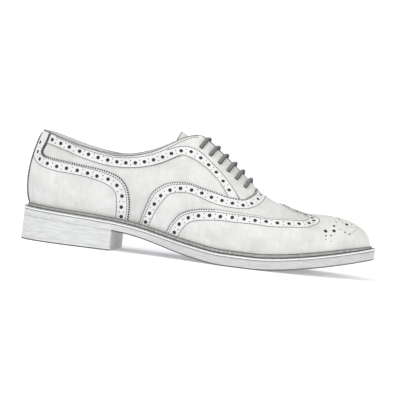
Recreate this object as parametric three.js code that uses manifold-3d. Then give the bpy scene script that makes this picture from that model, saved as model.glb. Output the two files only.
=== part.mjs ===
// Full brogue oxford, right shoe, standing empty on its sole.
// Millimetres: +X runs to the toe, +Y to the inner side of the foot, +Z up.
import * as THREE from 'three';
import Module from 'manifold-3d';

const wasm = await Module();
wasm.setup();

// Driving sizes of the shoe
const soleLength = 308;
const ballWidth = 106;
const instepRise = 92;        // top of the facings above the welt
const heelHeight = 20.8;      // under the sole at the back
const toeSpring = 18;         // the toe's lift off the floor
const toeSwing = 3.2;         // the toe leans this far to the inner side

// Thicknesses of what it is made of
const waistThick = 5.6;       // outsole under seat and waist
const foreThick = 7.4;        // outsole under the ball and toe
const weltThick = 2.5;
const weltRibHeight = 2.8;    // the standing rib of a storm welt
const weltLip = 1.1;          // flat edge outside the rib
const topPieceThick = 3.2;    // wearing layer of the heel
const insoleThick = 3;
const wall = 1.8;             // quarters and vamp lining together
const overlay = 0.9;          // each leather laid on top
const tongueThick = 2.2;
const laceRadius = 1.4;
const featherInset = 6.8;     // upper stands this far inside the sole edge
const weltReach = 14;         // welt runs this far in from the sole edge
const gap = 0.3;              // clearance between pieces that meet
const seamGap = 1;            // between two overlays that butt

// Facets
const rows = 8;               // up each section of the upper
const laceSides = 6;
const holeSides = 8;
const arcStep = 0.75;         // radians a facet along a bend of the lace

// Sole outline: along as a share of the length, out as a share of ball width
const outerOutline = [
  { along: 0, out: 0 }, { along: 0.022, out: 0.15 }, { along: 0.075, out: 0.262 },
  { along: 0.15, out: 0.312 }, { along: 0.25, out: 0.322 }, { along: 0.35, out: 0.332 },
  { along: 0.45, out: 0.378 }, { along: 0.55, out: 0.452 }, { along: 0.64, out: 0.502 },
  { along: 0.71, out: 0.502 }, { along: 0.79, out: 0.468 }, { along: 0.865, out: 0.394 },
  { along: 0.93, out: 0.292 }, { along: 0.973, out: 0.186 }, { along: 1, out: 0 },
];
const innerOutline = [
  { along: 0, out: 0 }, { along: 0.022, out: 0.15 }, { along: 0.075, out: 0.262 },
  { along: 0.15, out: 0.308 }, { along: 0.25, out: 0.302 }, { along: 0.35, out: 0.28 },
  { along: 0.43, out: 0.28 }, { along: 0.52, out: 0.325 }, { along: 0.61, out: 0.4 },
  { along: 0.69, out: 0.452 }, { along: 0.76, out: 0.463 }, { along: 0.835, out: 0.43 },
  { along: 0.9, out: 0.358 }, { along: 0.95, out: 0.263 }, { along: 0.983, out: 0.153 },
  { along: 1, out: 0 },
];

// Underside of the sole: height as a share of the heel height, back of the tread
const archProfile = [
  { along: 0, height: 1 }, { along: 0.14, height: 0.915 }, { along: 0.27, height: 0.825 },
  { along: 0.346, height: 0.69 }, { along: 0.39, height: 0.55 }, { along: 0.435, height: 0.385 },
  { along: 0.477, height: 0.24 }, { along: 0.523, height: 0.115 }, { along: 0.56, height: 0.035 },
  { along: 0.595, height: 0 }, { along: 0.63, height: 0 },
];
const treadStart = 0.6;       // the flat tread, as shares of the length
const treadEnd = 0.685;
const breast = 0.273;         // front face of the heel

// Sections of the last, from the heel (0) round one side to the toe (1).
// along, half and rise place the section's top edge, as shares of the sole
// length, ball width and instep rise. bulge and crown are its two handles as
// shares of its height, lean and drop their angles in degrees.
const sections = [
  { at: 0, along: 0.0341, half: 0, rise: 0.73, bulge: 0.28, lean: 27, crown: 0.37, drop: 69 },
  { at: 0.04, along: 0.0383, half: 0.066, rise: 0.728, bulge: 0.28, lean: 27, crown: 0.37, drop: 70 },
  { at: 0.08, along: 0.0519, half: 0.128, rise: 0.722, bulge: 0.28, lean: 26, crown: 0.37, drop: 73 },
  { at: 0.13, along: 0.0844, half: 0.189, rise: 0.698, bulge: 0.27, lean: 23, crown: 0.37, drop: 77 },
  { at: 0.18, along: 0.1315, half: 0.232, rise: 0.661, bulge: 0.27, lean: 20, crown: 0.37, drop: 80 },
  { at: 0.24, along: 0.1948, half: 0.26, rise: 0.627, bulge: 0.27, lean: 18, crown: 0.37, drop: 82 },
  { at: 0.3, along: 0.2597, half: 0.268, rise: 0.623, bulge: 0.27, lean: 16, crown: 0.37, drop: 82 },
  { at: 0.36, along: 0.3247, half: 0.251, rise: 0.679, bulge: 0.28, lean: 14, crown: 0.36, drop: 78 },
  { at: 0.42, along: 0.3896, half: 0.189, rise: 0.807, bulge: 0.29, lean: 11, crown: 0.35, drop: 66 },
  { at: 0.46, along: 0.4351, half: 0.119, rise: 0.929, bulge: 0.3, lean: 9, crown: 0.33, drop: 54 },
  { at: 0.48, along: 0.4562, half: 0.081, rise: 0.973, bulge: 0.3, lean: 8, crown: 0.32, drop: 52 },
  { at: 0.5, along: 0.4773, half: 0.057, rise: 0.993, bulge: 0.31, lean: 8, crown: 0.31, drop: 51 },
  { at: 0.52, along: 0.4968, half: 0.049, rise: 0.973, bulge: 0.32, lean: 8, crown: 0.31, drop: 50 },
  { at: 0.56, along: 0.5341, half: 0.041, rise: 0.901, bulge: 0.34, lean: 8, crown: 0.3, drop: 48 },
  { at: 0.62, along: 0.5909, half: 0.027, rise: 0.771, bulge: 0.36, lean: 8, crown: 0.29, drop: 41 },
  { at: 0.68, along: 0.6481, half: 0.008, rise: 0.616, bulge: 0.37, lean: 7, crown: 0.32, drop: 22 },
  { at: 0.71, along: 0.6747, half: 0.002, rise: 0.555, bulge: 0.36, lean: 6, crown: 0.37, drop: 8 },
  { at: 0.74, along: 0.7013, half: 0, rise: 0.507, bulge: 0.33, lean: 5, crown: 0.42, drop: 0 },
  { at: 0.8, along: 0.75, half: 0, rise: 0.431, bulge: 0.33, lean: 5, crown: 0.46, drop: 0 },
  { at: 0.86, along: 0.7922, half: 0, rise: 0.382, bulge: 0.33, lean: 4, crown: 0.5, drop: 0 },
  { at: 0.92, along: 0.8279, half: 0, rise: 0.359, bulge: 0.33, lean: 4, crown: 0.5, drop: 0 },
  { at: 0.96, along: 0.849, half: 0, rise: 0.347, bulge: 0.33, lean: 3, crown: 0.5, drop: 0 },
  { at: 1, along: 0.8669, half: 0, rise: 0.333, bulge: 0.33, lean: 3, crown: 0.5, drop: 0 },
];
const throat = 0.69;          // in front of this section the two sides are one

// Pattern lines on the last: section, and share of its height
const counterEdge = [
  { at: 0.099, up: 1.04 }, { at: 0.092, up: 0.9 }, { at: 0.083, up: 0.8 }, { at: 0.089, up: 0.72 },
  { at: 0.125, up: 0.695 }, { at: 0.193, up: 0.741 }, { at: 0.237, up: 0.748 },
  { at: 0.275, up: 0.728 }, { at: 0.302, up: 0.68 }, { at: 0.32, up: 0.597 },
  { at: 0.33, up: 0.476 }, { at: 0.33, up: 0.335 }, { at: 0.325, up: 0.188 }, { at: 0.324, up: -0.06 },
];
const collarEdge = [
  { at: 0.1, up: 0.858 }, { at: 0.164, up: 0.857 }, { at: 0.237, up: 0.832 }, { at: 0.315, up: 0.815 },
  { at: 0.402, up: 0.807 }, { at: 0.458, up: 0.812 }, { at: 0.488, up: 0.769 }, { at: 0.511, up: 0.737 },
  { at: 0.535, up: 0.718 }, { at: 0.559, up: 0.673 }, { at: 0.575, up: 0.619 }, { at: 0.589, up: 0.53 },
];
const vampEdge = [
  { at: 0.346, up: -0.06 }, { at: 0.351, up: 0.065 }, { at: 0.361, up: 0.21 }, { at: 0.375, up: 0.346 },
  { at: 0.392, up: 0.484 }, { at: 0.414, up: 0.546 }, { at: 0.435, up: 0.567 }, { at: 0.468, up: 0.547 },
  { at: 0.512, up: 0.519 }, { at: 0.548, up: 0.543 }, { at: 0.608, up: 0.572 }, { at: 0.633, up: 0.627 },
  { at: 0.655, up: 0.74 }, { at: 0.673, up: 0.897 }, { at: 0.684, up: 1.06 },
];
const wingEdge = [
  { at: 0.41, up: -0.06 }, { at: 0.422, up: 0.058 }, { at: 0.434, up: 0.151 }, { at: 0.455, up: 0.247 },
  { at: 0.476, up: 0.288 }, { at: 0.502, up: 0.313 }, { at: 0.561, up: 0.379 }, { at: 0.63, up: 0.426 },
  { at: 0.677, up: 0.474 }, { at: 0.729, up: 0.508 }, { at: 0.763, up: 0.545 }, { at: 0.806, up: 0.601 },
  { at: 0.832, up: 0.68 }, { at: 0.836, up: 0.77 }, { at: 0.814, up: 0.802 }, { at: 0.78, up: 0.82 },
  { at: 0.76, up: 0.87 }, { at: 0.752, up: 1.06 },
];
const eyelets = [
  { at: 0.509, up: 0.893 }, { at: 0.536, up: 0.88 }, { at: 0.563, up: 0.87 },
  { at: 0.588, up: 0.853 }, { at: 0.612, up: 0.833 }, { at: 0.637, up: 0.81 },
];

// Tongue: side points as shares of a section's height, under the upper by
// side, and its middle under the tops of the two sides by middle, moved along
const tongueSections = [
  { at: 0.745, low: 0.84, mid: 0.9, high: 0.95, side: 2.2, middle: 2.2, along: 0 },
  { at: 0.715, low: 0.81, mid: 0.88, high: 0.94, side: 2.6, middle: 2.8, along: 0 },
  { at: 0.685, low: 0.76, mid: 0.83, high: 0.91, side: 4.2, middle: 5.2, along: 0 },
  { at: 0.65, low: 0.72, mid: 0.79, high: 0.87, side: 5.6, middle: 6.6, along: 0 },
  { at: 0.61, low: 0.7, mid: 0.78, high: 0.87, side: 5.8, middle: 7, along: 0 },
  { at: 0.57, low: 0.7, mid: 0.78, high: 0.87, side: 5.8, middle: 6.8, along: 0 },
  { at: 0.53, low: 0.71, mid: 0.79, high: 0.87, side: 5.8, middle: 6.4, along: 0 },
  { at: 0.5, low: 0.73, mid: 0.8, high: 0.87, side: 5.8, middle: 5.2, along: 0 },
  { at: 0.475, low: 0.76, mid: 0.82, high: 0.88, side: 5.4, middle: 1.6, along: 0 },
  { at: 0.455, low: 0.8, mid: 0.85, high: 0.9, side: 5, middle: -2.6, along: 0 },
  { at: 0.438, low: 0.86, mid: 0.9, high: 0.94, side: 4.6, middle: -6.2, along: 2.4 },
];

// Natural cubic spline through short tables
function spline(xs, ys) {
  const n = xs.length;
  const step = xs.slice(1).map((x, i) => x - xs[i]);
  const bend = new Array(n).fill(0);
  const upper = new Array(n).fill(0);
  const right = new Array(n).fill(0);
  for (let i = 1; i < n - 1; i += 1) {
    const force = 6 * ((ys[i + 1] - ys[i]) / step[i] - (ys[i] - ys[i - 1]) / step[i - 1]);
    const pivot = 2 * (step[i - 1] + step[i]) - step[i - 1] * upper[i - 1];
    upper[i] = step[i] / pivot;
    right[i] = (force - step[i - 1] * right[i - 1]) / pivot;
  }
  for (let i = n - 2; i > 0; i -= 1) {
    bend[i] = right[i] - upper[i] * bend[i + 1];
  }
  return (x) => {
    let i = 0;
    while (i < n - 2 && x >= xs[i + 1]) i += 1;
    const h = step[i];
    const a = (xs[i + 1] - x) / h;
    const b = (x - xs[i]) / h;
    const curve = (a ** 3 - a) * bend[i] + (b ** 3 - b) * bend[i + 1];
    return a * ys[i] + b * ys[i + 1] + curve * h * h / 6;
  };
}

function clamp(x, low, high) {
  return Math.min(Math.max(x, low), high);
}

function ease(t) {
  const c = clamp(t, 0, 1);
  return c * c * (3 - 2 * c);
}

function column(table, name) {
  return spline(table.map((row) => row.at), table.map((row) => row[name]));
}

// Medial swing of the toe, growing in front of the waist
function swing(x) {
  return toeSwing * ease((x / soleLength - 0.55) / 0.45);
}

// The closed outline of the sole as two splines over its arc length
function closedOutline() {
  const outer = outerOutline.map((p) => {
    const x = p.along * soleLength;
    return new THREE.Vector2(x, swing(x) - p.out * ballWidth);
  });
  const inner = innerOutline.map((p) => {
    const x = p.along * soleLength;
    return new THREE.Vector2(x, swing(x) + p.out * ballWidth);
  });
  const loop = outer.concat(inner.slice(1, -1).reverse());
  const wrap = 4;
  const points = [];
  for (let i = -wrap; i <= loop.length + wrap; i += 1) {
    points.push(loop[(i + loop.length) % loop.length]);
  }
  const travel = [0];
  for (let i = 1; i < points.length; i += 1) {
    travel.push(travel[i - 1] + points[i].distanceTo(points[i - 1]));
  }
  return {
    x: spline(travel, points.map((p) => p.x)),
    y: spline(travel, points.map((p) => p.y)),
    start: travel[wrap],
    toe: travel[wrap + outer.length - 1],
    end: travel[wrap + loop.length],
  };
}

const contour = closedOutline();

// A place on the sole outline: side -1 outer or +1 inner, at 0 heel to 1 toe
function outlinePoint(side, at, inset) {
  const reach = side < 0 ? contour.toe - contour.start : contour.toe - contour.end;
  const t = (side < 0 ? contour.start : contour.end) + at * reach;
  const probe = 0.5;
  const dx = contour.x(t + probe) - contour.x(t - probe);
  const dy = contour.y(t + probe) - contour.y(t - probe);
  const out = new THREE.Vector3(dy, -dx, 0).normalize();
  const place = new THREE.Vector3(contour.x(t), contour.y(t), 0).addScaledVector(out, -inset);
  return { place, out };
}

const archRise = spline(archProfile.map((p) => p.along), archProfile.map((p) => p.height));

function underside(x) {
  const along = x / soleLength;
  if (along < treadStart) {
    return Math.max(heelHeight * archRise(clamp(along, 0, 0.595)), 0);
  }
  return toeSpring * Math.max((along - treadEnd) / (1 - treadEnd), 0) ** 1.5;
}

function outsoleTop(x) {
  return underside(x) + waistThick + (foreThick - waistThick) * ease((x / soleLength - 0.3) / 0.25);
}

function weltTop(x) {
  return outsoleTop(x) + gap + weltThick;
}

const sectionAlong = column(sections, 'along');
const sectionHalf = column(sections, 'half');
const sectionRise = column(sections, 'rise');
const sectionBulge = column(sections, 'bulge');
const sectionLean = column(sections, 'lean');
const sectionCrown = column(sections, 'crown');
const sectionDrop = column(sections, 'drop');

function sectionTop(at) {
  const x = sectionAlong(at) * soleLength;
  return { x, z: weltTop(x) + sectionRise(at) * instepRise };
}

// One section of the last: a cubic curve from the welt to its top edge
function makeSection(side, at) {
  const foot = outlinePoint(side, at, featherInset);
  const start = foot.place.clone();
  start.z = weltTop(start.x) + gap;
  const top = sectionTop(at);
  const half = at >= throat ? 0 : Math.max(sectionHalf(at), 0) * ballWidth;
  const end = new THREE.Vector3(top.x, side * half + swing(top.x), top.z);
  const chord = start.distanceTo(end);
  const lean = THREE.MathUtils.degToRad(sectionLean(at));
  const drop = THREE.MathUtils.degToRad(sectionDrop(at));
  const first = start.clone().addScaledVector(foot.out, sectionBulge(at) * chord * Math.sin(lean));
  first.z += sectionBulge(at) * chord * Math.cos(lean);
  const straight = new THREE.Vector3(start.x - end.x, start.y - end.y, 0).normalize();
  const blend = ease((at - 0.4) / 0.25);
  const plan = foot.out.clone().multiplyScalar(1 - blend).addScaledVector(straight, blend).normalize();
  const probe = 0.001;
  const before = sectionTop(at - probe);
  const after = sectionTop(at + probe);
  const slope = (after.z - before.z) / (after.x - before.x) * clamp((at - 0.62) / 0.07, 0, 1);
  const handle = sectionCrown(at) * chord;
  const second = end.clone().addScaledVector(plan, handle * Math.cos(drop));
  second.z += handle * (slope * plan.x * Math.cos(drop) - Math.sin(drop));
  const curve = new THREE.CubicBezierCurve3(start, first, second, end);
  curve.arcLengthDivisions = 40;
  return curve;
}

const sectionStore = new Map();

function section(side, at) {
  const key = `${side} ${at.toFixed(6)}`;
  if (!sectionStore.has(key)) sectionStore.set(key, makeSection(side, at));
  return sectionStore.get(key);
}

function lastPoint(side, at, up) {
  return section(side, at).getPointAt(clamp(up, 0, 1));
}

function sideNormal(side, at, up) {
  const probe = 0.002;
  const a = clamp(at, probe, 1 - probe);
  const v = clamp(up, probe, 1 - probe);
  const forward = lastPoint(side, a + probe, v).sub(lastPoint(side, a - probe, v));
  const upward = lastPoint(side, a, v + probe).sub(lastPoint(side, a, v - probe));
  return forward.cross(upward).multiplyScalar(-side).normalize();
}

// Outward direction; along the welt at the foot so that each layer stands on it
function lastNormal(side, at, up) {
  const edge = 1e-9;
  const shared = at < edge || at > 1 - edge || (up > 1 - edge && at > throat - edge);
  const normal = sideNormal(side, at, up);
  if (shared) normal.add(sideNormal(-side, at, up)).normalize();
  const x = lastPoint(side, at, 0).x;
  const weltSlope = (weltTop(x + 1) - weltTop(x - 1)) / 2;
  const free = ease(up / 0.12);
  normal.z = normal.z * free + weltSlope * normal.x * (1 - free);
  return normal.normalize();
}

// A point off the last by a distance, negative inward
function offLast(side, at, up, distance) {
  return lastPoint(side, at, up).addScaledVector(lastNormal(side, at, up), distance);
}

// Stations along each side, shared by the upper, welt and sole so that their
// facets lie side by side
const throatTop = 0.44;
const stations = [];
for (const [from, to, count] of [[0, throatTop, 15], [throatTop, throat, 8], [throat, 1, 11]]) {
  for (let i = 0; i < count; i += 1) stations.push(from + (to - from) * i / count);
}
stations.push(1);

// The whole last as one sheet of corners and triangles, with both sides joined
// at the heel, at the toe and along the vamp's crest
function lastSheet() {
  const corners = [];
  const index = new Map();
  const last = stations.length - 1;
  const corner = (side, i, j) => {
    const shared = i === 0 || i === last || (j === rows && stations[i] >= throat);
    const key = `${shared ? 0 : side} ${i} ${j}`;
    if (!index.has(key)) {
      index.set(key, corners.length);
      corners.push({ side, shared, at: stations[i], up: j / rows });
    }
    return index.get(key);
  };
  const triangles = [];
  for (const side of [-1, 1]) {
    for (let i = 0; i < last; i += 1) {
      for (let j = 0; j < rows; j += 1) {
        const a = corner(side, i, j);
        const b = corner(side, i + 1, j);
        const c = corner(side, i + 1, j + 1);
        const d = corner(side, i, j + 1);
        const quad = side < 0 ? [[a, b, c], [a, c, d]] : [[a, c, b], [a, d, c]];
        triangles.push(...quad);
      }
    }
  }
  return { corners, triangles };
}

// The part of a sheet where measure(side, at, up) is not negative
function clipSheet(sheet, measure) {
  const snap = 0.15;
  const corners = sheet.corners.slice();
  const value = corners.map((c) => {
    const m = measure(c.side, c.at, c.up);
    return Math.abs(m) < snap ? 0 : m;
  });
  const cuts = new Map();
  const cut = (a, b) => {
    const key = a < b ? `${a} ${b}` : `${b} ${a}`;
    if (!cuts.has(key)) {
      const from = corners[a];
      const to = corners[b];
      const t = value[a] / (value[a] - value[b]);
      const side = from.shared ? to.side : from.side;
      const at = from.at + (to.at - from.at) * t;
      const up = from.up + (to.up - from.up) * t;
      cuts.set(key, corners.length);
      corners.push({ side, shared: from.shared && to.shared, at, up });
      value.push(0);
    }
    return cuts.get(key);
  };
  const triangles = [];
  for (const triangle of sheet.triangles) {
    const ring = [];
    for (let k = 0; k < 3; k += 1) {
      const a = triangle[k];
      const b = triangle[(k + 1) % 3];
      if (value[a] >= 0) ring.push(a);
      if (value[a] * value[b] < 0) ring.push(cut(a, b));
    }
    for (let k = 1; k + 1 < ring.length; k += 1) {
      triangles.push([ring[0], ring[k], ring[k + 1]]);
    }
  }
  return { corners, triangles };
}

// A sheet given thickness between two distances off the last
function thicken(sheet, low, high) {
  const used = [...new Set(sheet.triangles.flat())];
  const slot = new Map(used.map((corner, k) => [corner, k]));
  const points = [];
  for (const distance of [high, low]) {
    for (const k of used) {
      const c = sheet.corners[k];
      points.push(offLast(c.side, c.at, c.up, distance));
    }
  }
  const depth = used.length;
  const faces = [];
  const edges = new Set();
  for (const triangle of sheet.triangles) {
    const [a, b, c] = triangle.map((k) => slot.get(k));
    faces.push([a, b, c], [depth + c, depth + b, depth + a]);
    for (const pair of [[a, b], [b, c], [c, a]]) edges.add(pair.join(' '));
  }
  for (const edge of edges) {
    const [a, b] = edge.split(' ').map(Number);
    if (!edges.has(`${b} ${a}`)) faces.push([b, a, depth + a], [b, depth + a, depth + b]);
  }
  return solid(points, faces);
}

// A triangle mesh as a closed solid for cutting
function solid(points, faces) {
  const vertProperties = new Float32Array(points.flatMap((p) => [p.x, p.y, p.z]));
  const triVerts = new Uint32Array(faces.flat());
  return new wasm.Manifold(new wasm.Mesh({ numProp: 3, vertProperties, triVerts }));
}

function solidOfGeometry(geometry) {
  const place = geometry.attributes.position;
  const points = [];
  const slots = new Map();
  const index = [];
  for (let i = 0; i < place.count; i += 1) {
    const p = new THREE.Vector3().fromBufferAttribute(place, i);
    const key = p.toArray().map((v) => v.toFixed(4)).join(' ');
    if (!slots.has(key)) {
      slots.set(key, points.length);
      points.push(p);
    }
    index.push(slots.get(key));
  }
  const order = geometry.index ? [...geometry.index.array] : index.map((v, i) => i);
  const faces = [];
  for (let i = 0; i < order.length; i += 3) {
    const face = [index[order[i]], index[order[i + 1]], index[order[i + 2]]];
    if (new Set(face).size === 3) faces.push(face);
  }
  return solid(points, faces);
}

function meshOf(name, body, colour, roughness) {
  const data = body.getMesh();
  const geometry = new THREE.BufferGeometry();
  const stride = data.numProp;
  const place = new Float32Array(data.vertProperties.length / stride * 3);
  for (let i = 0; i < place.length / 3; i += 1) {
    for (let k = 0; k < 3; k += 1) place[i * 3 + k] = data.vertProperties[i * stride + k];
  }
  geometry.setAttribute('position', new THREE.BufferAttribute(place, 3));
  geometry.setIndex(new THREE.BufferAttribute(new Uint32Array(data.triVerts), 1));
  geometry.computeVertexNormals();
  const material = new THREE.MeshStandardMaterial({ color: colour, roughness, metalness: 0 });
  const mesh = new THREE.Mesh(geometry, material);
  mesh.name = name;
  return mesh;
}

// Distances in mm over a pattern: along the welt, and up the sections
const sideReach = contour.toe - contour.start;
const rise = spline(
  sections.map((row) => row.at),
  sections.map((row) => section(-1, row.at).getLength()),
);

function flat(at, up) {
  return new THREE.Vector2(at * sideReach, up * rise(clamp(at, 0, 1)));
}

function smoothLine(table) {
  const knots = new THREE.SplineCurve(table.map((p) => new THREE.Vector2(p.at, p.up)));
  return knots.getPoints(table.length * 3).map((p) => flat(p.x, p.y));
}

// Signed distance to a closed pattern outline, positive inside
function patternMeasure(outline) {
  return (side, at, up) => {
    const p = flat(at, up);
    let inside = false;
    let nearest = Infinity;
    for (let i = 0; i < outline.length; i += 1) {
      const a = outline[i];
      const b = outline[(i + 1) % outline.length];
      const edge = b.clone().sub(a);
      const t = clamp(p.clone().sub(a).dot(edge) / edge.lengthSq(), 0, 1);
      nearest = Math.min(nearest, p.distanceTo(a.clone().addScaledVector(edge, t)));
      const crosses = (a.y > p.y) !== (b.y > p.y);
      if (crosses && p.x < a.x + (p.y - a.y) / (b.y - a.y) * edge.x) inside = !inside;
    }
    return inside ? nearest : -nearest;
  };
}

const beyond = 2;             // patterns run well past the sheet's own edges
const counterPattern = patternMeasure([
  ...smoothLine(counterEdge),
  flat(-0.2, -0.3),
  flat(-0.2, beyond),
  flat(0.099, beyond),
]);
const vampPattern = patternMeasure([
  ...smoothLine(vampEdge),
  flat(0.69, beyond),
  flat(1.2, beyond),
  flat(1.2, -0.3),
  flat(0.346, -0.3),
]);
const wingPattern = patternMeasure([
  ...smoothLine(wingEdge),
  flat(0.75, beyond),
  flat(1.2, beyond),
  flat(1.2, -0.3),
  flat(0.41, -0.3),
]);
const collarPattern = patternMeasure([
  ...smoothLine(collarEdge),
  flat(0.62, 0.45),
  flat(0.72, 0.6),
  flat(0.72, beyond),
  flat(0.1, beyond),
]);

const sheet = lastSheet();

// Hollow body of quarters and vamp with its lining, laced through its facings
function upperShell() {
  return thicken(sheet, -wall, 0).subtract(eyeletHoles());
}

function layer(patch, above) {
  const low = gap + above * (overlay + gap);
  return thicken(patch, low, low + overlay);
}

function counter() {
  return layer(clipSheet(sheet, counterPattern), 0);
}

function vamp() {
  return layer(clipSheet(sheet, vampPattern), 0);
}

function wingCap() {
  return layer(clipSheet(sheet, wingPattern), 1);
}

// Collar band and eyelet facing of one side, between counter strap and vamp
function facing(side) {
  const half = {
    corners: sheet.corners,
    triangles: sheet.triangles.filter((t) => t.some((k) => !sheet.corners[k].shared
      && sheet.corners[k].side === side)),
  };
  const band = clipSheet(half, collarPattern);
  const clearOfVamp = clipSheet(band, (s, at, up) => -vampPattern(s, at, up) - seamGap);
  const clearOfStrap = clipSheet(clearOfVamp, (s, at, up) => -counterPattern(s, at, up) - seamGap);
  return layer(clearOfStrap, 0).subtract(eyeletHoles());
}

// Straight bores for the lace, square to the leather at each eyelet
function eyeletHoles() {
  const radius = (laceRadius + gap + 0.2) / Math.cos(Math.PI / holeSides);
  const holes = [];
  for (const side of [-1, 1]) {
    for (const eyelet of eyelets) {
      const bore = new THREE.CylinderGeometry(radius, radius, 8 * wall, holeSides);
      const turn = new THREE.Quaternion().setFromUnitVectors(
        new THREE.Vector3(0, 1, 0),
        lastNormal(side, eyelet.at, eyelet.up),
      );
      bore.applyQuaternion(turn);
      bore.translate(...lastPoint(side, eyelet.at, eyelet.up).toArray());
      holes.push(solidOfGeometry(bore));
    }
  }
  return wasm.Manifold.union(holes);
}

// A closed skin over rings of points, each ring with the same number
function loft(rings, closed) {
  const count = rings[0].length;
  const points = rings.flat();
  const faces = [];
  const spans = closed ? rings.length : rings.length - 1;
  for (let i = 0; i < spans; i += 1) {
    const j = (i + 1) % rings.length;
    for (let k = 0; k < count; k += 1) {
      const m = (k + 1) % count;
      const a = i * count + k;
      const b = j * count + k;
      const c = j * count + m;
      const d = i * count + m;
      faces.push([a, b, c], [a, c, d]);
    }
  }
  if (!closed) {
    const end = (rings.length - 1) * count;
    for (let k = 1; k + 1 < count; k += 1) {
      faces.push([0, k, k + 1], [end, end + k + 1, end + k]);
    }
  }
  return solid(points, faces);
}

// A plate inside the sole outline, through the given stations, between two
// heights that follow x. It comes to a point at the heel and at the toe.
function plate(inset, bottom, top, places) {
  const points = [];
  const corner = (side, at, height) => {
    const p = outlinePoint(side, at, inset).place;
    p.z = height(p.x);
    points.push(p);
    return points.length - 1;
  };
  const rungs = places.map((at) => {
    const pointed = at === 0 || at === 1;
    const outerHigh = corner(-1, at, top);
    const outerLow = corner(-1, at, bottom);
    return {
      outerHigh,
      outerLow,
      innerHigh: pointed ? outerHigh : corner(1, at, top),
      innerLow: pointed ? outerLow : corner(1, at, bottom),
    };
  });
  const faces = [];
  const quad = (a, b, c, d) => {
    for (const face of [[a, b, c], [a, c, d]]) {
      if (new Set(face).size === 3) faces.push(face);
    }
  };
  for (let i = 0; i + 1 < rungs.length; i += 1) {
    const p = rungs[i];
    const q = rungs[i + 1];
    quad(p.outerHigh, q.outerHigh, q.innerHigh, p.innerHigh);
    quad(p.outerLow, p.innerLow, q.innerLow, q.outerLow);
    quad(p.outerLow, q.outerLow, q.outerHigh, p.outerHigh);
    quad(p.innerHigh, q.innerHigh, q.innerLow, p.innerLow);
  }
  const end = rungs[rungs.length - 1];
  quad(end.outerLow, end.innerLow, end.innerHigh, end.outerHigh);
  return solid(points, faces);
}

// Stations of the heel, back from its breast
function heelStations() {
  let front = 0;
  while (outlinePoint(-1, front, 0).place.x < breast * soleLength) front += 0.001;
  const places = stations.filter((at) => at < front - 0.01);
  return [...places, front];
}

function outsole() {
  return plate(0, underside, outsoleTop, stations);
}

function heelStack() {
  return plate(0, () => topPieceThick + gap, (x) => underside(x) - gap, heelStations());
}

function topPiece() {
  return plate(0, () => 0, () => topPieceThick, heelStations());
}

function insole() {
  const inset = featherInset + wall + 2 * gap;
  return plate(inset, (x) => weltTop(x) + gap, (x) => weltTop(x) + gap + insoleThick, stations);
}

// Welt with its standing rib close outside the laid-on leathers: one over the
// quarters, two over the vamp and its wing
function welt() {
  const rings = [];
  const ring = (side, at) => {
    const edge = outlinePoint(side, at, 0);
    const onWelt = (plan, rise) => new THREE.Vector3(plan.x, plan.y, weltTop(plan.x) + rise);
    const inFrom = (inset) => edge.place.clone().addScaledVector(edge.out, -inset);
    const layers = 1 + ease((at - 0.34) / 0.06);
    const clear = layers * (gap + overlay) + gap;
    const ribUp = weltRibHeight / section(side, at).getLength();
    return [
      onWelt(inFrom(0), -weltThick),
      onWelt(inFrom(weltReach), -weltThick),
      onWelt(inFrom(weltReach), 0),
      onWelt(offLast(side, at, 0, clear), 0),
      onWelt(offLast(side, at, ribUp, clear), weltRibHeight),
      onWelt(inFrom(weltLip + 0.2), weltRibHeight),
      onWelt(inFrom(weltLip), 0),
      onWelt(inFrom(0), 0),
    ];
  };
  const last = stations.length - 1;
  for (let i = 0; i < last; i += 1) rings.push(ring(-1, stations[i]));
  for (let i = last; i > 0; i -= 1) rings.push(ring(1, stations[i]));
  return loft(rings.reverse(), true);
}

// Tongue: an arch under the facings that rises out of the collar
function tongue() {
  const rings = [];
  for (const row of tongueSections) {
    const crest = lastPoint(-1, row.at, 1).add(lastPoint(1, row.at, 1)).multiplyScalar(0.5);
    const up = lastNormal(-1, row.at, 1).add(lastNormal(1, row.at, 1)).normalize();
    const middle = crest.addScaledVector(up, -row.middle);
    middle.x += row.along;
    const arch = new THREE.CatmullRomCurve3([
      offLast(-1, row.at, row.low, -row.side),
      offLast(-1, row.at, row.mid, -row.side),
      offLast(-1, row.at, row.high, -row.side),
      middle,
      offLast(1, row.at, row.high, -row.side),
      offLast(1, row.at, row.mid, -row.side),
      offLast(1, row.at, row.low, -row.side),
    ], false, 'centripetal');
    rings.push(arch.getPoints(10));
  }
  const outer = [];
  const inner = [];
  for (let i = 0; i < rings.length; i += 1) {
    const before = rings[Math.max(i - 1, 0)];
    const after = rings[Math.min(i + 1, rings.length - 1)];
    outer.push(rings[i]);
    inner.push(rings[i].map((p, k) => {
      const ahead = after[k].clone().sub(before[k]);
      const side = rings[i][Math.min(k + 1, 10)].clone().sub(rings[i][Math.max(k - 1, 0)]);
      const down = ahead.cross(side).normalize();
      return p.clone().addScaledVector(down, tongueThick);
    }));
  }
  const skin = outer.map((ring, i) => ring.concat(inner[i].slice().reverse()));
  return loft(skin.reverse(), false);
}

// A path with its corners rounded off to arcs
function roundedPath(corners, radius) {
  const path = [corners[0]];
  for (let i = 1; i + 1 < corners.length; i += 1) {
    const here = corners[i];
    const back = corners[i - 1].clone().sub(here);
    const on = corners[i + 1].clone().sub(here);
    const angle = Math.PI - back.angleTo(on);
    const room = 0.49 * Math.min(back.length(), on.length());
    const trim = Math.min(radius * Math.tan(angle / 2), room);
    const start = here.clone().addScaledVector(back.normalize(), trim);
    const end = here.clone().addScaledVector(on.normalize(), trim);
    const steps = Math.max(1, Math.round(angle / arcStep));
    const bend = new THREE.QuadraticBezierCurve3(start, here, end);
    path.push(...bend.getPoints(steps));
  }
  path.push(corners[corners.length - 1]);
  return path;
}

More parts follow.
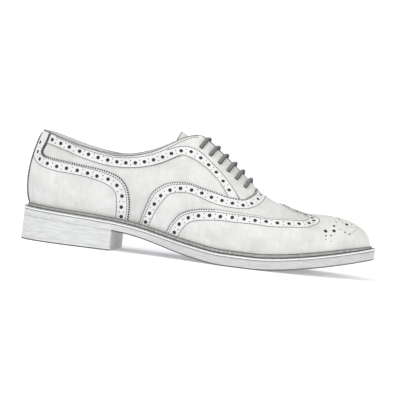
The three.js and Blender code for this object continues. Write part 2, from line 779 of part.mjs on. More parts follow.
// A round cord along a path, its section carried without twist
function cord(path, radius) {
  const rings = [];
  let across = new THREE.Vector3(0, 0, 1);
  path.forEach((p, i) => {
    const ahead = path[Math.min(i + 1, path.length - 1)].clone();
    const along = ahead.sub(path[Math.max(i - 1, 0)]).normalize();
    across = across.clone().addScaledVector(along, -across.dot(along)).normalize();
    const third = along.clone().cross(across);
    const ring = [];
    for (let k = 0; k < laceSides; k += 1) {
      const turn = -2 * Math.PI * k / laceSides;
      ring.push(p.clone()
        .addScaledVector(across, radius * Math.cos(turn))
        .addScaledVector(third, radius * Math.sin(turn)));
    }
    rings.push(ring);
  });
  return loft(rings, false);
}

// The lace in six straight bars. It starts and ends under the top inner eyelet.
function lace() {
  const under = -wall - gap - 0.1 - laceRadius;
  const over = 2 * gap + overlay + 0.2 + laceRadius;
  const sidestep = 3.6;
  const shareOf = (i, distance) => distance / section(-1, eyelets[i].at).getLength();
  const spot = (side, i, distance, shift) => offLast(
    side,
    eyelets[i].at,
    eyelets[i].up + shareOf(i, shift),
    distance,
  );
  const bar = (from, i) => [
    spot(from, i, over, 0),
    offLast(from, eyelets[i].at, 0.985, over + 1.1),
    offLast(-from, eyelets[i].at, 0.985, over + 1.1),
    spot(-from, i, over, 0),
  ];
  const inner = 1;
  const outer = -1;
  const corners = [
    spot(inner, 0, under - 1.2, 0),
    ...bar(inner, 0),
    spot(outer, 0, under, 0),
    spot(outer, 1, under, -sidestep),
    spot(outer, 2, under, 0),
    ...bar(outer, 2),
    spot(inner, 2, under, 0),
    spot(inner, 3, under, -sidestep),
    spot(inner, 4, under, 0),
    ...bar(inner, 4),
    spot(outer, 4, under, 0),
    spot(outer, 5, under, 0),
    ...bar(outer, 5),
    spot(inner, 5, under, 0),
    spot(inner, 4, under, sidestep),
    spot(inner, 3, under, 0),
    ...bar(inner, 3),
    spot(outer, 3, under, 0),
    spot(outer, 2, under, sidestep),
    spot(outer, 1, under, 0),
    ...bar(outer, 1),
    spot(inner, 1, under, 0),
    spot(inner, 1, under, 0).lerp(spot(inner, 0, under, 0), 0.55),
  ];
  return cord(roundedPath(corners, 2.4), laceRadius);
}

const leather = 0xe9e8e3;
const leatherLight = 0xf0efeb;
const oxford = new THREE.Group();
oxford.add(
  meshOf('outsole', outsole(), 0xcfcdc6, 0.6),
  meshOf('welt', welt(), 0xdad8d1, 0.6),
  meshOf('heel_stack', heelStack(), 0xe2e0da, 0.55),
  meshOf('top_piece', topPiece(), 0x9c9a94, 0.8),
  meshOf('insole', insole(), 0xd9d2c2, 0.7),
  meshOf('upper', upperShell(), leather, 0.5),
  meshOf('counter', counter(), leatherLight, 0.5),
  meshOf('vamp', vamp(), leatherLight, 0.5),
  meshOf('wing_cap', wingCap(), leather, 0.5),
  meshOf('facing_outer', facing(-1), leatherLight, 0.5),
  meshOf('facing_inner', facing(1), leatherLight, 0.5),
  meshOf('tongue', tongue(), leather, 0.6),
  meshOf('lace', lace(), 0x55555a, 0.9),
);

// The part's origin is under its middle, on the floor
const extent = new THREE.Box3().setFromObject(oxford);
const middle = extent.getCenter(new THREE.Vector3());
oxford.position.set(-middle.x, -middle.y, -extent.min.z);
oxford.updateMatrixWorld(true);

export default oxford;
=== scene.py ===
import math

import bmesh
import bpy
import numpy as np
from mathutils import Matrix, Vector
from mathutils.geometry import delaunay_2d_cdt


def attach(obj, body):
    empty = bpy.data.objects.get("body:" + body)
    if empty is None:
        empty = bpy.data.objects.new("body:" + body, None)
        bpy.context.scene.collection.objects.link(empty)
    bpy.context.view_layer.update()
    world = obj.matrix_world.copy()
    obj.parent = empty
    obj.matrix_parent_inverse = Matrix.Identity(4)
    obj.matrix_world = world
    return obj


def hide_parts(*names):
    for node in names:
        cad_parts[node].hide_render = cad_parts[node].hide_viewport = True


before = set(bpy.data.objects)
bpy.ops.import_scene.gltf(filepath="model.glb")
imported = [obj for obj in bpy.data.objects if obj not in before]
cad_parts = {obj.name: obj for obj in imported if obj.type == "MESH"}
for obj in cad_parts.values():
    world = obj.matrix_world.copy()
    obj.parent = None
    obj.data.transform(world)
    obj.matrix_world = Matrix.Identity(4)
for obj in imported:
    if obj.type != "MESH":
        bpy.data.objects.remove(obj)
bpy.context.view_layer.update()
print("frame loaded")

mm = 0.001
partOrigin = np.array([-154.0, 1.2783, 0.0])  # mm, where the back of the sole stands in the part


# Camera

cameraSetup = {
    "aim": (-1.0, 1.28, 48.0),  # mm
    "azimuth": 7.6,
    "elevation": 2.1,
    "roll": 6.62,  # the shoe points downhill to the right
    "distance": 2000.0,
    "lens": 207.708,
    "sensor": 36,
    "clipEnd": 100,  # m
    "shift": (0.00037, 0.00963),
}


def addObject(name, data):
    added = bpy.data.objects.new(name, data)
    bpy.context.scene.collection.objects.link(added)
    return added


def addCamera(setup):
    azimuth, elevation, roll = (math.radians(setup[k]) for k in ("azimuth", "elevation", "roll"))
    forward = Vector((
        -math.sin(azimuth) * math.cos(elevation),
        math.cos(azimuth) * math.cos(elevation),
        -math.sin(elevation),
    ))
    level = Vector((math.cos(azimuth), math.sin(azimuth), 0))
    upright = level.cross(forward)
    right = level * math.cos(roll) + upright * math.sin(roll)
    up = upright * math.cos(roll) - level * math.sin(roll)
    place = (Vector(setup["aim"]) - forward * setup["distance"]) * mm
    data = bpy.data.cameras.new("camera")
    data.lens = setup["lens"]
    data.sensor_width = setup["sensor"]
    data.shift_x, data.shift_y = setup["shift"]
    data.clip_end = setup["clipEnd"]
    camera = addObject("camera", data)
    camera.matrix_world = Matrix((
        (right.x, up.x, -forward.x, place.x),
        (right.y, up.y, -forward.y, place.y),
        (right.z, up.z, -forward.z, place.z),
        (0, 0, 0, 1),
    ))
    bpy.context.scene.camera = camera


addCamera(cameraSetup)
print("camera placed")


# The last: the same tables and curves as the part's source, in mm from the
# back of the sole. Side -1 is the outer side, +1 the inner side. Places along
# a side (at) and up a rib of the last (up) are shares from 0 to 1.

last = {
    "soleLength": 308.0,
    "ballWidth": 106.0,
    "instepRise": 92.0,
    "heelHeight": 20.8,
    "toeSpring": 18.0,
    "toeSwing": 3.2,
    "swingFrom": 0.55,  # share of the length where the toe starts to turn in
    "waistThick": 5.6,
    "foreThick": 7.4,
    "weltThick": 2.5,
    "featherInset": 6.8,
    "gap": 0.3,
    "thicken": (0.3, 0.25),  # where the outsole gets thicker, and over what share
    "tread": (0.6, 0.685),
    "throat": 0.69,
    "inLine": (0.4, 0.25),  # at, over: ribs turn to the straight way across
    "crownSlope": (0.62, 0.07),  # at, over: the crown starts to follow the vamp's slope
    "free": 0.12,  # share of a rib above the welt where normals are its own
    "curveSteps": 240,
    "alongSteps": 600,
    "upSteps": 140,
    "outerOutline": [
        (0, 0), (0.022, 0.15), (0.075, 0.262), (0.15, 0.312), (0.25, 0.322), (0.35, 0.332),
        (0.45, 0.378), (0.55, 0.452), (0.64, 0.502), (0.71, 0.502), (0.79, 0.468),
        (0.865, 0.394), (0.93, 0.292), (0.973, 0.186), (1, 0),
    ],
    "innerOutline": [
        (0, 0), (0.022, 0.15), (0.075, 0.262), (0.15, 0.308), (0.25, 0.302), (0.35, 0.28),
        (0.43, 0.28), (0.52, 0.325), (0.61, 0.4), (0.69, 0.452), (0.76, 0.463),
        (0.835, 0.43), (0.9, 0.358), (0.95, 0.263), (0.983, 0.153), (1, 0),
    ],
    "archProfile": [
        (0, 1), (0.14, 0.915), (0.27, 0.825), (0.346, 0.69), (0.39, 0.55), (0.435, 0.385),
        (0.477, 0.24), (0.523, 0.115), (0.56, 0.035), (0.595, 0), (0.63, 0),
    ],
    # at, along, half, rise, bulge, lean, crown, drop
    "sections": [
        (0, 0.0341, 0, 0.73, 0.28, 27, 0.37, 69),
        (0.04, 0.0383, 0.066, 0.728, 0.28, 27, 0.37, 70),
        (0.08, 0.0519, 0.128, 0.722, 0.28, 26, 0.37, 73),
        (0.13, 0.0844, 0.189, 0.698, 0.27, 23, 0.37, 77),
        (0.18, 0.1315, 0.232, 0.661, 0.27, 20, 0.37, 80),
        (0.24, 0.1948, 0.26, 0.627, 0.27, 18, 0.37, 82),
        (0.3, 0.2597, 0.268, 0.623, 0.27, 16, 0.37, 82),
        (0.36, 0.3247, 0.251, 0.679, 0.28, 14, 0.36, 78),
        (0.42, 0.3896, 0.189, 0.807, 0.29, 11, 0.35, 66),
        (0.46, 0.4351, 0.119, 0.929, 0.3, 9, 0.33, 54),
        (0.48, 0.4562, 0.081, 0.973, 0.3, 8, 0.32, 52),
        (0.5, 0.4773, 0.057, 0.993, 0.31, 8, 0.31, 51),
        (0.52, 0.4968, 0.049, 0.973, 0.32, 8, 0.31, 50),
        (0.56, 0.5341, 0.041, 0.901, 0.34, 8, 0.3, 48),
        (0.62, 0.5909, 0.027, 0.771, 0.36, 8, 0.29, 41),
        (0.68, 0.6481, 0.008, 0.616, 0.37, 7, 0.32, 22),
        (0.71, 0.6747, 0.002, 0.555, 0.36, 6, 0.37, 8),
        (0.74, 0.7013, 0, 0.507, 0.33, 5, 0.42, 0),
        (0.8, 0.75, 0, 0.431, 0.33, 5, 0.46, 0),
        (0.86, 0.7922, 0, 0.382, 0.33, 4, 0.5, 0),
        (0.92, 0.8279, 0, 0.359, 0.33, 4, 0.5, 0),
        (0.96, 0.849, 0, 0.347, 0.33, 3, 0.5, 0),
        (1, 0.8669, 0, 0.333, 0.33, 3, 0.5, 0),
    ],
    # wear: at, up, reach along, reach up, depth in mm; a trough is positive
    "creases": [
        (0.60, 0.2, 0.012, 0.16, 0.35),
        (0.625, 0.28, 0.012, 0.16, 0.3),
        (0.612, 0.24, 0.012, 0.16, -0.25),
        (0.34, 0.4, 0.014, 0.2, 0.25),
    ],
}


def ease(t):
    c = np.clip(t, 0, 1)
    return c * c * (3 - 2 * c)


def unit(v):
    return v / np.maximum(np.linalg.norm(v, axis=-1, keepdims=True), 1e-12)


def readTable(table, x):
    return np.interp(x, *zip(*table))


# Length run along a line of points, from 0 at its start
def travelOf(points):
    return np.concatenate([[0], np.cumsum(np.linalg.norm(np.diff(points, axis=0), axis=1))])


def readLine(points, travel, mark):
    return np.stack([np.interp(mark, travel, points[:, k]) for k in range(points.shape[1])], -1)


# Natural cubic spline through the points
def spline(xs, ys):
    xs = np.asarray(xs, float)
    ys = np.asarray(ys, float)
    step = np.diff(xs)
    count = len(xs)
    system = np.eye(count)
    force = np.zeros(count)
    for i in range(1, count - 1):
        system[i, i - 1:i + 2] = step[i - 1], 2 * (step[i - 1] + step[i]), step[i]
        force[i] = 6 * ((ys[i + 1] - ys[i]) / step[i] - (ys[i] - ys[i - 1]) / step[i - 1])
    bend = np.linalg.solve(system, force)

    def value(x):
        x = np.asarray(x, float)
        i = np.clip(np.searchsorted(xs, x, side="right") - 1, 0, count - 2)
        h = step[i]
        a = (xs[i + 1] - x) / h
        b = (x - xs[i]) / h
        curve = (a ** 3 - a) * bend[i] + (b ** 3 - b) * bend[i + 1]
        return a * ys[i] + b * ys[i + 1] + curve * h * h / 6

    return value


def swing(x):
    start = last["swingFrom"]
    return last["toeSwing"] * ease((x / last["soleLength"] - start) / (1 - start))


def traceContour():
    length, width = last["soleLength"], last["ballWidth"]
    outer = [(a * length, swing(a * length) - o * width) for a, o in last["outerOutline"]]
    inner = [(a * length, swing(a * length) + o * width) for a, o in last["innerOutline"]]
    loop = outer + inner[1:-1][::-1]
    wrap = 4
    points = np.array([loop[i % len(loop)] for i in range(-wrap, len(loop) + wrap + 1)])
    travel = travelOf(points)
    return {
        "x": spline(travel, points[:, 0]),
        "y": spline(travel, points[:, 1]),
        "start": travel[wrap],
        "toe": travel[wrap + len(outer) - 1],
        "end": travel[wrap + len(loop)],
    }


contour = traceContour()
sideReach = contour["toe"] - contour["start"]


def outlinePoint(side, at, inset=0.0):
    at = np.asarray(at, float)
    base = contour["start"] if side < 0 else contour["end"]
    t = base + at * (contour["toe"] - base)
    probe = 0.5
    dx = contour["x"](t + probe) - contour["x"](t - probe)
    dy = contour["y"](t + probe) - contour["y"](t - probe)
    out = unit(np.stack([dy, -dx, np.zeros_like(dx)], -1))
    place = np.stack([contour["x"](t), contour["y"](t), np.zeros_like(dx)], -1)
    return place - out * np.asarray(inset, float)[..., None], out


archRise = spline(*zip(*last["archProfile"]))


def underside(x):
    along = np.asarray(x, float) / last["soleLength"]
    start, end = last["tread"]
    ground = last["archProfile"][-2][0]
    arch = np.maximum(last["heelHeight"] * archRise(np.clip(along, 0, ground)), 0)
    spring = last["toeSpring"] * np.maximum((along - end) / (1 - end), 0) ** 1.5
    return np.where(along < start, arch, spring)


def outsoleTop(x):
    start, over = last["thicken"]
    share = ease((np.asarray(x, float) / last["soleLength"] - start) / over)
    return underside(x) + last["waistThick"] + (last["foreThick"] - last["waistThick"]) * share


def weltTop(x):
    return outsoleTop(x) + last["gap"] + last["weltThick"]


sectionTable = np.array(last["sections"])
(
    sectionAlong, sectionHalf, sectionRise, sectionBulge, sectionLean, sectionCrown, sectionDrop,
) = (spline(sectionTable[:, 0], sectionTable[:, k]) for k in range(1, 8))


def sectionTop(at):
    x = sectionAlong(at) * last["soleLength"]
    return x, weltTop(x) + sectionRise(at) * last["instepRise"]


# Ribs of the last at equal shares of their length, from the welt to the top
def drawRibs(side, at, shares):
    start, out = outlinePoint(side, at, np.full_like(at, last["featherInset"]))
    start[:, 2] = weltTop(start[:, 0]) + last["gap"]
    topX, topZ = sectionTop(at)
    half = np.where(at >= last["throat"], 0, np.maximum(sectionHalf(at), 0) * last["ballWidth"])
    end = np.stack([topX, side * half + swing(topX), topZ], -1)
    chord = np.linalg.norm(end - start, axis=1)[:, None]
    lean = np.radians(sectionLean(at))[:, None]
    drop = np.radians(sectionDrop(at))[:, None]
    rise = np.array([0, 0, 1.0])
    first = start + sectionBulge(at)[:, None] * chord * (out * np.sin(lean) + rise * np.cos(lean))
    straight = start - end
    straight[:, 2] = 0
    turnAt, over = last["inLine"]
    blend = ease((at - turnAt) / over)[:, None]
    plan = unit(out * (1 - blend) + unit(straight) * blend)
    probe = 0.001
    beforeX, beforeZ = sectionTop(at - probe)
    afterX, afterZ = sectionTop(at + probe)
    slopeAt, over = last["crownSlope"]
    slope = (afterZ - beforeZ) / (afterX - beforeX) * np.clip((at - slopeAt) / over, 0, 1)
    handle = sectionCrown(at)[:, None] * chord
    second = end + handle * np.cos(drop) * plan
    second[:, 2] += handle[:, 0] * (slope * plan[:, 0] * np.cos(drop[:, 0]) - np.sin(drop[:, 0]))
    t = np.linspace(0, 1, last["curveSteps"] + 1)[None, :, None]
    curve = (
        (1 - t) ** 3 * start[:, None] + 3 * (1 - t) ** 2 * t * first[:, None]
        + 3 * (1 - t) * t ** 2 * second[:, None] + t ** 3 * end[:, None]
    )
    ribs, lengths = [], []
    for rib in curve:
        travel = travelOf(rib)
        ribs.append(readLine(rib, travel, shares * travel[-1]))
        lengths.append(travel[-1])
    return np.array(ribs), np.array(lengths)


ribLength = spline(sectionTable[:, 0], drawRibs(-1, sectionTable[:, 0], np.array([0, 1.0]))[1])


def normalsOf(own, other, side):
    ahead = np.concatenate([other[1:2], own, other[-2:-1]], 0)
    forward = ahead[2:] - ahead[:-2]
    beyond = 2 * own[:, -1] - own[:, -2]
    shared = np.linspace(0, 1, len(own)) >= last["throat"]
    beyond[shared] = other[shared, -2]
    below = 2 * own[:, 0] - own[:, 1]
    tall = np.concatenate([below[:, None], own, beyond[:, None]], 1)
    upward = tall[:, 2:] - tall[:, :-2]
    return unit(np.cross(forward, upward) * -side)


def shapeLast():
    at = np.linspace(0, 1, last["alongSteps"] + 1)
    up = np.linspace(0, 1, last["upSteps"] + 1)
    place = {side: drawRibs(side, at, up)[0] for side in (-1, 1)}
    normal = {side: normalsOf(place[side], place[-side], side) for side in (-1, 1)}
    for side in (-1, 1):
        for creaseAt, creaseUp, alongReach, upReach, depth in last["creases"]:
            wide = np.exp(-((at - creaseAt) / alongReach) ** 2)[:, None]
            tall = np.exp(-((up - creaseUp) / upReach) ** 2)[None]
            place[side] = place[side] - normal[side] * (depth * wide * tall)[..., None]
    normal = {side: normalsOf(place[side], place[-side], side) for side in (-1, 1)}
    free = ease(up / last["free"])[None]
    for side in (-1, 1):
        x = place[side][:, :1, 0]
        tilt = (weltTop(x + 1) - weltTop(x - 1)) / 2
        n = normal[side]
        n[..., 2] = n[..., 2] * free + tilt * n[..., 0] * (1 - free)
        normal[side] = unit(n)
    for side in (-1, 1):
        for row in (0, -1):
            mean = unit(normal[side][row] + normal[-side][row])
            normal[side][row] = mean
            normal[-side][row] = mean
    return place, normal


lastPlace, lastNormal = shapeLast()


# Patterns are drawn flat, in mm: along the welt, and up the ribs
def flat(at, up):
    at = np.asarray(at, float)
    return np.stack([at * sideReach, np.asarray(up, float) * ribLength(np.clip(at, 0, 1))], -1)


def gridLookup(grid, points):
    at = np.clip(points[..., 0] / sideReach, 0, 1)
    up = np.clip(points[..., 1] / ribLength(at), 0, 1)
    i = at * last["alongSteps"]
    j = up * last["upSteps"]
    i0 = np.minimum(i.astype(int), last["alongSteps"] - 1)
    j0 = np.minimum(j.astype(int), last["upSteps"] - 1)
    fi = (i - i0)[..., None]
    fj = (j - j0)[..., None]
    low = grid[i0, j0] * (1 - fi) + grid[i0 + 1, j0] * fi
    high = grid[i0, j0 + 1] * (1 - fi) + grid[i0 + 1, j0 + 1] * fi
    return low * (1 - fj) + high * fj


def onLast(side, points, lift=0.0):
    points = np.asarray(points, float)
    lift = np.asarray(lift, float)
    normal = unit(gridLookup(lastNormal[side], points))
    return gridLookup(lastPlace[side], points) + normal * lift[..., None], normal


# How the flat pattern stretches over the outer side of the last
def stretch(points):
    points = np.asarray(points, float)
    probe = 0.3
    columns = []
    for k in range(2):
        more = points.copy()
        less = points.copy()
        more[:, k] += probe
        less[:, k] -= probe
        for moved in (more, less):
            moved[:, 0] = np.clip(moved[:, 0], 0, sideReach)
            moved[:, 1] = np.clip(moved[:, 1], 0, ribLength(moved[:, 0] / sideReach))
        span = (more - less)[:, k]
        columns.append((onLast(-1, more)[0] - onLast(-1, less)[0]) / np.maximum(span, 1e-6)[:, None])
    return np.stack(columns, -1), onLast(-1, points)[1]


def resample(line, step):
    travel = travelOf(onLast(-1, line)[0])
    count = max(2, int(round(travel[-1] / step)) + 1)
    return readLine(line, travel, np.linspace(0, travel[-1], count))


# Left of a line that runs to the toe is up
def offsetLine(line, distance):
    ahead = np.gradient(line, axis=0)
    bend, normal = stretch(line)
    along = np.einsum("nij,nj->ni", bend, ahead)
    left = unit(np.cross(normal, along)) * np.broadcast_to(distance, (len(line),))[:, None]
    metric = np.einsum("nki,nkj->nij", bend, bend) + np.eye(2) * 1e-6
    force = np.einsum("nki,nk->ni", bend, left)
    return line + np.linalg.solve(metric, force[..., None])[..., 0]


def circleOn(centre, radius, count):
    bend, _ = stretch(centre[None])
    values, vectors = np.linalg.eigh(bend[0].T @ bend[0])
    root = vectors @ np.diag(1 / np.sqrt(np.maximum(values, 0.05))) @ vectors.T
    turn = np.arange(count) * 2 * np.pi / count
    return centre + radius * np.stack([np.cos(turn), np.sin(turn)], -1) @ root


# Smooth line through a table of (at, up), cut where it leaves the last
def patternLine(table):
    points = np.array(table, float)
    padded = np.concatenate([points[:1], points, points[-1:]])
    pieces = []
    t = np.linspace(0, 1, 16, endpoint=False)[:, None]
    for i in range(len(points) - 1):
        a, b, c, d = padded[i:i + 4]
        pieces.append(
            0.5 * (2 * b + (c - a) * t + (2 * a - 5 * b + 4 * c - d) * t ** 2
                   + (3 * b - a - 3 * c + d) * t ** 3)
        )
    line = np.concatenate(pieces + [points[-1:]])
    inside = (line[:, 1] >= 0) & (line[:, 1] <= 1)
    first, final = np.argmax(inside), len(line) - 1 - np.argmax(inside[::-1])
    kept = [line[first:final + 1]]
    if first > 0:
        kept.insert(0, edgeCrossing(line[first - 1], line[first]))
    if final < len(line) - 1:
        kept.append(edgeCrossing(line[final + 1], line[final]))
    line = np.concatenate(kept)
    return flat(line[:, 0], line[:, 1])


def edgeCrossing(outside, inside):
    level = 1.0 if outside[1] > 1 else 0.0
    t = (level - outside[1]) / (inside[1] - outside[1])
    return (outside + (inside - outside) * t)[None]


def alongRow(atStart, atEnd, up, step=1.6):
    count = max(2, int(abs(atEnd - atStart) * sideReach / step) + 1)
    at = np.linspace(atStart, atEnd, count)
    return flat(at, np.full(count, float(up)))


def alongRib(at, upStart, upEnd, step=1.6):
    count = max(2, int(abs(upEnd - upStart) * float(ribLength(at)) / step) + 1)
    return flat(np.full(count, float(at)), np.linspace(upStart, upEnd, count))


# Runs a function on the points a part at a time, to spare memory
def inParts(measure, points, size=3000):
    parts = [measure(points[start:start + size]) for start in range(0, len(points), size)]
    return np.concatenate(parts) if parts else measure(points)


def insideShape(points, shape):
    ax, ay = shape[:, 0], shape[:, 1]
    bx, by = np.roll(ax, -1), np.roll(ay, -1)
    rise = np.where(by == ay, 1e-12, by - ay)

    def inside(part):
        x, y = part[:, :1], part[:, 1:]
        crosses = (ay > y) != (by > y)
        reach = ax + (y - ay) / rise * (bx - ax)
        return (np.sum(crosses & (x < reach), axis=1) % 2) == 1

    return inParts(inside, points)


def distanceToLine(points, line):
    a, edge = line[:-1], np.diff(line, axis=0)
    reach = np.maximum((edge ** 2).sum(-1), 1e-12)

    def distance(part):
        p = part[:, None]
        t = np.clip(((p - a) * edge).sum(-1) / reach, 0, 1)
        return np.sqrt(((p - a - edge * t[..., None]) ** 2).sum(-1)).min(1)

    return inParts(distance, points)


print("last shaped, side reach", round(float(sideReach), 2))


# Materials

def newMaterial(name):
    material = bpy.data.materials.new(name)
    material.use_nodes = True
    tree = material.node_tree
    return material, tree, tree.nodes["Principled BSDF"]


# Sets the inputs of a node, or links them to outputs of other nodes
def feed(tree, node, inputs):
    for name, value in inputs.items():
        if isinstance(value, bpy.types.NodeSocket):
            tree.links.new(value, node.inputs[name])
        else:
            node.inputs[name].default_value = value


def addNode(tree, kind, inputs=None, **settings):
    node = tree.nodes.new(kind)
    for key, value in settings.items():
        setattr(node, key, value)
    feed(tree, node, inputs or {})
    return node


def objectPlace(tree):
    return addNode(tree, "ShaderNodeTexCoord").outputs["Object"]


def mapped(tree, vector, scale, rotation=(0, 0, 0)):
    inputs = {"Vector": vector, "Scale": scale, "Rotation": rotation}
    return addNode(tree, "ShaderNodeMapping", inputs).outputs["Vector"]


def noiseOf(tree, vector, scale, detail=3.0, roughness=0.55):
    inputs = {"Vector": vector, "Scale": scale, "Detail": detail, "Roughness": roughness}
    return addNode(tree, "ShaderNodeTexNoise", inputs).outputs["Fac"]


def mathOf(tree, operation, *values):
    inputs = dict(enumerate(values))
    return addNode(tree, "ShaderNodeMath", inputs, operation=operation).outputs[0]


def rampOf(tree, value, stops):
    ramp = addNode(tree, "ShaderNodeValToRGB", {"Fac": value})
    elements = ramp.color_ramp.elements
    while len(elements) < len(stops):
        elements.new(0.5)
    for element, (place, colour) in zip(elements, stops):
        element.position = place
        element.color = (*colour, 1)
    return ramp.outputs["Color"]


# Inputs 6 and 7 of a colour mix are its two colours
def mixOf(tree, factor, a, b, blend="MIX"):
    inputs = {"Factor": factor, 6: a, 7: b}
    return addNode(tree, "ShaderNodeMix", inputs, data_type="RGBA", blend_type=blend).outputs[2]


def bumpOf(tree, height, strength, distance, under=None):
    inputs = {"Height": height, "Strength": strength, "Distance": distance}
    if under is not None:
        inputs["Normal"] = under
    return addNode(tree, "ShaderNodeBump", inputs).outputs["Normal"]


def grey(value, warm=0.0):
    return (value, value * (1 + 0.15 * warm), value * (1 - warm))


leatherFinish = {
    "grain": 1500.0,  # cells a metre
    "grainDepth": 0.00012,  # m
    "wrinkle": 260.0,
    "wrinkleDepth": 0.00025,
    "drift": 55.0,
    "brush": 300.0,
    "brushTurn": (0.0, 0.75, 0.0),
    "brushStretch": (1.0, 0.6, 0.3),
    "brushTones": [(0.33, 0.88), (0.45, 1.0), (0.56, 1.0), (0.66, 1.08)],
    "brushShare": 0.8,
    "roughness": (0.36, 0.52),
}


# Smooth calf: fine pebble, soft wrinkles, a slow drift of tone and brush marks
def leather(name, light, dark, finish=leatherFinish):
    material, tree, shader = newMaterial(name)
    place = objectPlace(tree)
    drift = noiseOf(tree, place, finish["drift"], 5.0, 0.62)
    base = rampOf(tree, drift, [(0.34, dark), (0.62, light)])
    strokes = mapped(tree, place, finish["brushStretch"], finish["brushTurn"])
    brush = noiseOf(tree, strokes, finish["brush"], 5.0, 0.7)
    shade = rampOf(tree, brush, [(at, grey(tone)) for at, tone in finish["brushTones"]])
    brushed = mixOf(tree, 1.0, base, shade, "MULTIPLY")
    cells = addNode(tree, "ShaderNodeTexVoronoi", {"Vector": place, "Scale": finish["grain"]})
    wrinkle = noiseOf(tree, place, finish["wrinkle"], 3.0, 0.5)
    soft = bumpOf(tree, wrinkle, 0.35, finish["wrinkleDepth"])
    low, high = finish["roughness"]
    feed(tree, shader, {
        "Base Color": mixOf(tree, finish["brushShare"], base, brushed),
        "Normal": bumpOf(tree, cells.outputs["Distance"], 0.3, finish["grainDepth"], soft),
        "Roughness": rampOf(tree, drift, [(0.3, grey(low)), (0.7, grey(high))]),
        "Specular IOR Level": 0.4,
        "Coat Weight": 0.08,
        "Coat Roughness": 0.3,
    })
    return material


def plainFinish(name, light, dark, scale, roughness, depth=0.0001, stretchAs=(1, 1, 1)):
    material, tree, shader = newMaterial(name)
    grain = noiseOf(tree, mapped(tree, objectPlace(tree), stretchAs), scale, 4.0, 0.6)
    feed(tree, shader, {
        "Base Color": rampOf(tree, grain, [(0.3, dark), (0.7, light)]),
        "Normal": bumpOf(tree, grain, 0.5, depth),
        "Roughness": roughness,
    })
    return material


edgeFinish = {
    "heel": (0.69, 0.55),  # light and dark streaks, at the heel and at the forefoot
    "fore": (0.60, 0.47),
    "span": (-0.07, -0.02),  # m, where one turns into the other
    "grain": 420.0,
    "streaks": (0.2, 0.2, 2.2),
}


# Burnished edge of the sole and the heel: short streaks along it, greyer forward
def soleFinish(name, finish=edgeFinish):
    material, tree, shader = newMaterial(name)
    place = objectPlace(tree)
    streak = noiseOf(tree, mapped(tree, place, finish["streaks"]), finish["grain"], 5.0, 0.7)
    tones = []
    for light, dark in (finish["heel"], finish["fore"]):
        stops = [(0.34, dark), (0.46, (light + dark * 2) / 3), (0.6, light)]
        tones.append(rampOf(tree, streak, [(at, grey(tone, 0.02)) for at, tone in stops]))
    along = addNode(tree, "ShaderNodeSeparateXYZ", {0: place}).outputs["X"]
    start, end = finish["span"]
    forward = addNode(tree, "ShaderNodeMapRange", {"Value": along, "From Min": start, "From Max": end})
    feed(tree, shader, {
        "Base Color": mixOf(tree, forward.outputs["Result"], *tones),
        "Normal": bumpOf(tree, streak, 0.4, 0.0001),
        "Roughness": 0.5,
    })
    return material


panelLeather = leather("panelLeather", grey(0.70, 0.035), grey(0.60, 0.05))
stripLeather = leather("stripLeather", grey(0.75, 0.015), grey(0.67, 0.02))
liningLeather = leather("liningLeather", (0.88, 0.875, 0.865), (0.82, 0.812, 0.80))
sockLeather = leather("sockLeather", (0.70, 0.66, 0.58), (0.61, 0.57, 0.49))
tongueLeather = leather("tongueLeather", grey(0.66, 0.03), grey(0.58, 0.035))
dyedEdge = plainFinish("dyedEdge", grey(0.14), grey(0.07), 900.0, 0.6)
bindingLeather = plainFinish("bindingLeather", grey(0.62), grey(0.50), 700.0, 0.45, 0.0002)
# Painted shade: the dark floor and walls of punched holes and gimped notches, where the pale leather
# beneath would lie in shade
paintedHoleShade = plainFinish("paintedHoleShade", grey(0.075), grey(0.045), 900.0, 0.9)
threadGrey = plainFinish("threadGrey", grey(0.13), grey(0.07), 2500.0, 0.7)
weltEdge = plainFinish("weltEdge", grey(0.86), grey(0.78), 260.0, 0.45, 0.0001, (0.25, 0.25, 2.0))
# The welt's rib is dark grey partly as its own colour and partly as painted shade of the crease against
# the upper; the groove finish is painted shade in the welt's grooves and along the line where it meets
# the outsole
weltRibAndCreaseShade = plainFinish("weltRibAndCreaseShade", grey(0.46, 0.05), grey(0.22, 0.05), 620.0, 0.7, 0.0003, (1, 1, 0.5))
weltGrooveShade = plainFinish("weltGrooveShade", grey(0.12), grey(0.06), 620.0, 0.8)
soleDark = plainFinish("soleDark", grey(0.13), grey(0.08), 620.0, 0.6)
soleBottom = plainFinish("soleBottom", (0.70, 0.67, 0.60), (0.62, 0.58, 0.51), 160.0, 0.55)
heelLeather = soleFinish("heelLeather")
heelFront = plainFinish("heelFront", grey(0.72), grey(0.56), 500.0, 0.6)
heelRubber = plainFinish("heelRubber", grey(0.10), grey(0.06), 1200.0, 0.8)
soleEdge = soleFinish("soleEdge")
print("materials ready")


# Building pieces

def addPiece(name, points, faces, materials, faceMaterials=None,
             nodes=(), crease=38, weld=0.004):
    mesh = bpy.data.meshes.new(name)
    world = (np.asarray(points, float) + partOrigin) * mm
    mesh.from_pydata(world.tolist(), [], [tuple(int(k) for k in f) for f in faces])
    for material in materials:
        mesh.materials.append(material)
    if faceMaterials is not None:
        mesh.polygons.foreach_set("material_index", np.asarray(faceMaterials, np.int32))
    if weld:
        work = bmesh.new()
        work.from_mesh(mesh)
        bmesh.ops.remove_doubles(work, verts=work.verts, dist=weld * mm)
        bmesh.ops.dissolve_degenerate(work, edges=work.edges, dist=weld * 0.2 * mm)
        work.to_mesh(mesh)
        work.free()
    mesh.polygons.foreach_set("use_smooth", np.ones(len(mesh.polygons), bool))
    mesh.set_sharp_from_angle(angle=math.radians(crease))
    mesh.update()
    piece = addObject(name, mesh)
    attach(piece, "root")
    if nodes:
        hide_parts(*nodes)
    print("piece", name, len(mesh.polygons), "faces")
    return piece


planning = {
    "ringSides": (8, 16),  # of a pinhole and of a larger hole
    "clear": 0.55,  # share of the spacing that stays free beside a line
    "sliver": 1e-5,  # mm2, the smallest triangle that is kept
}


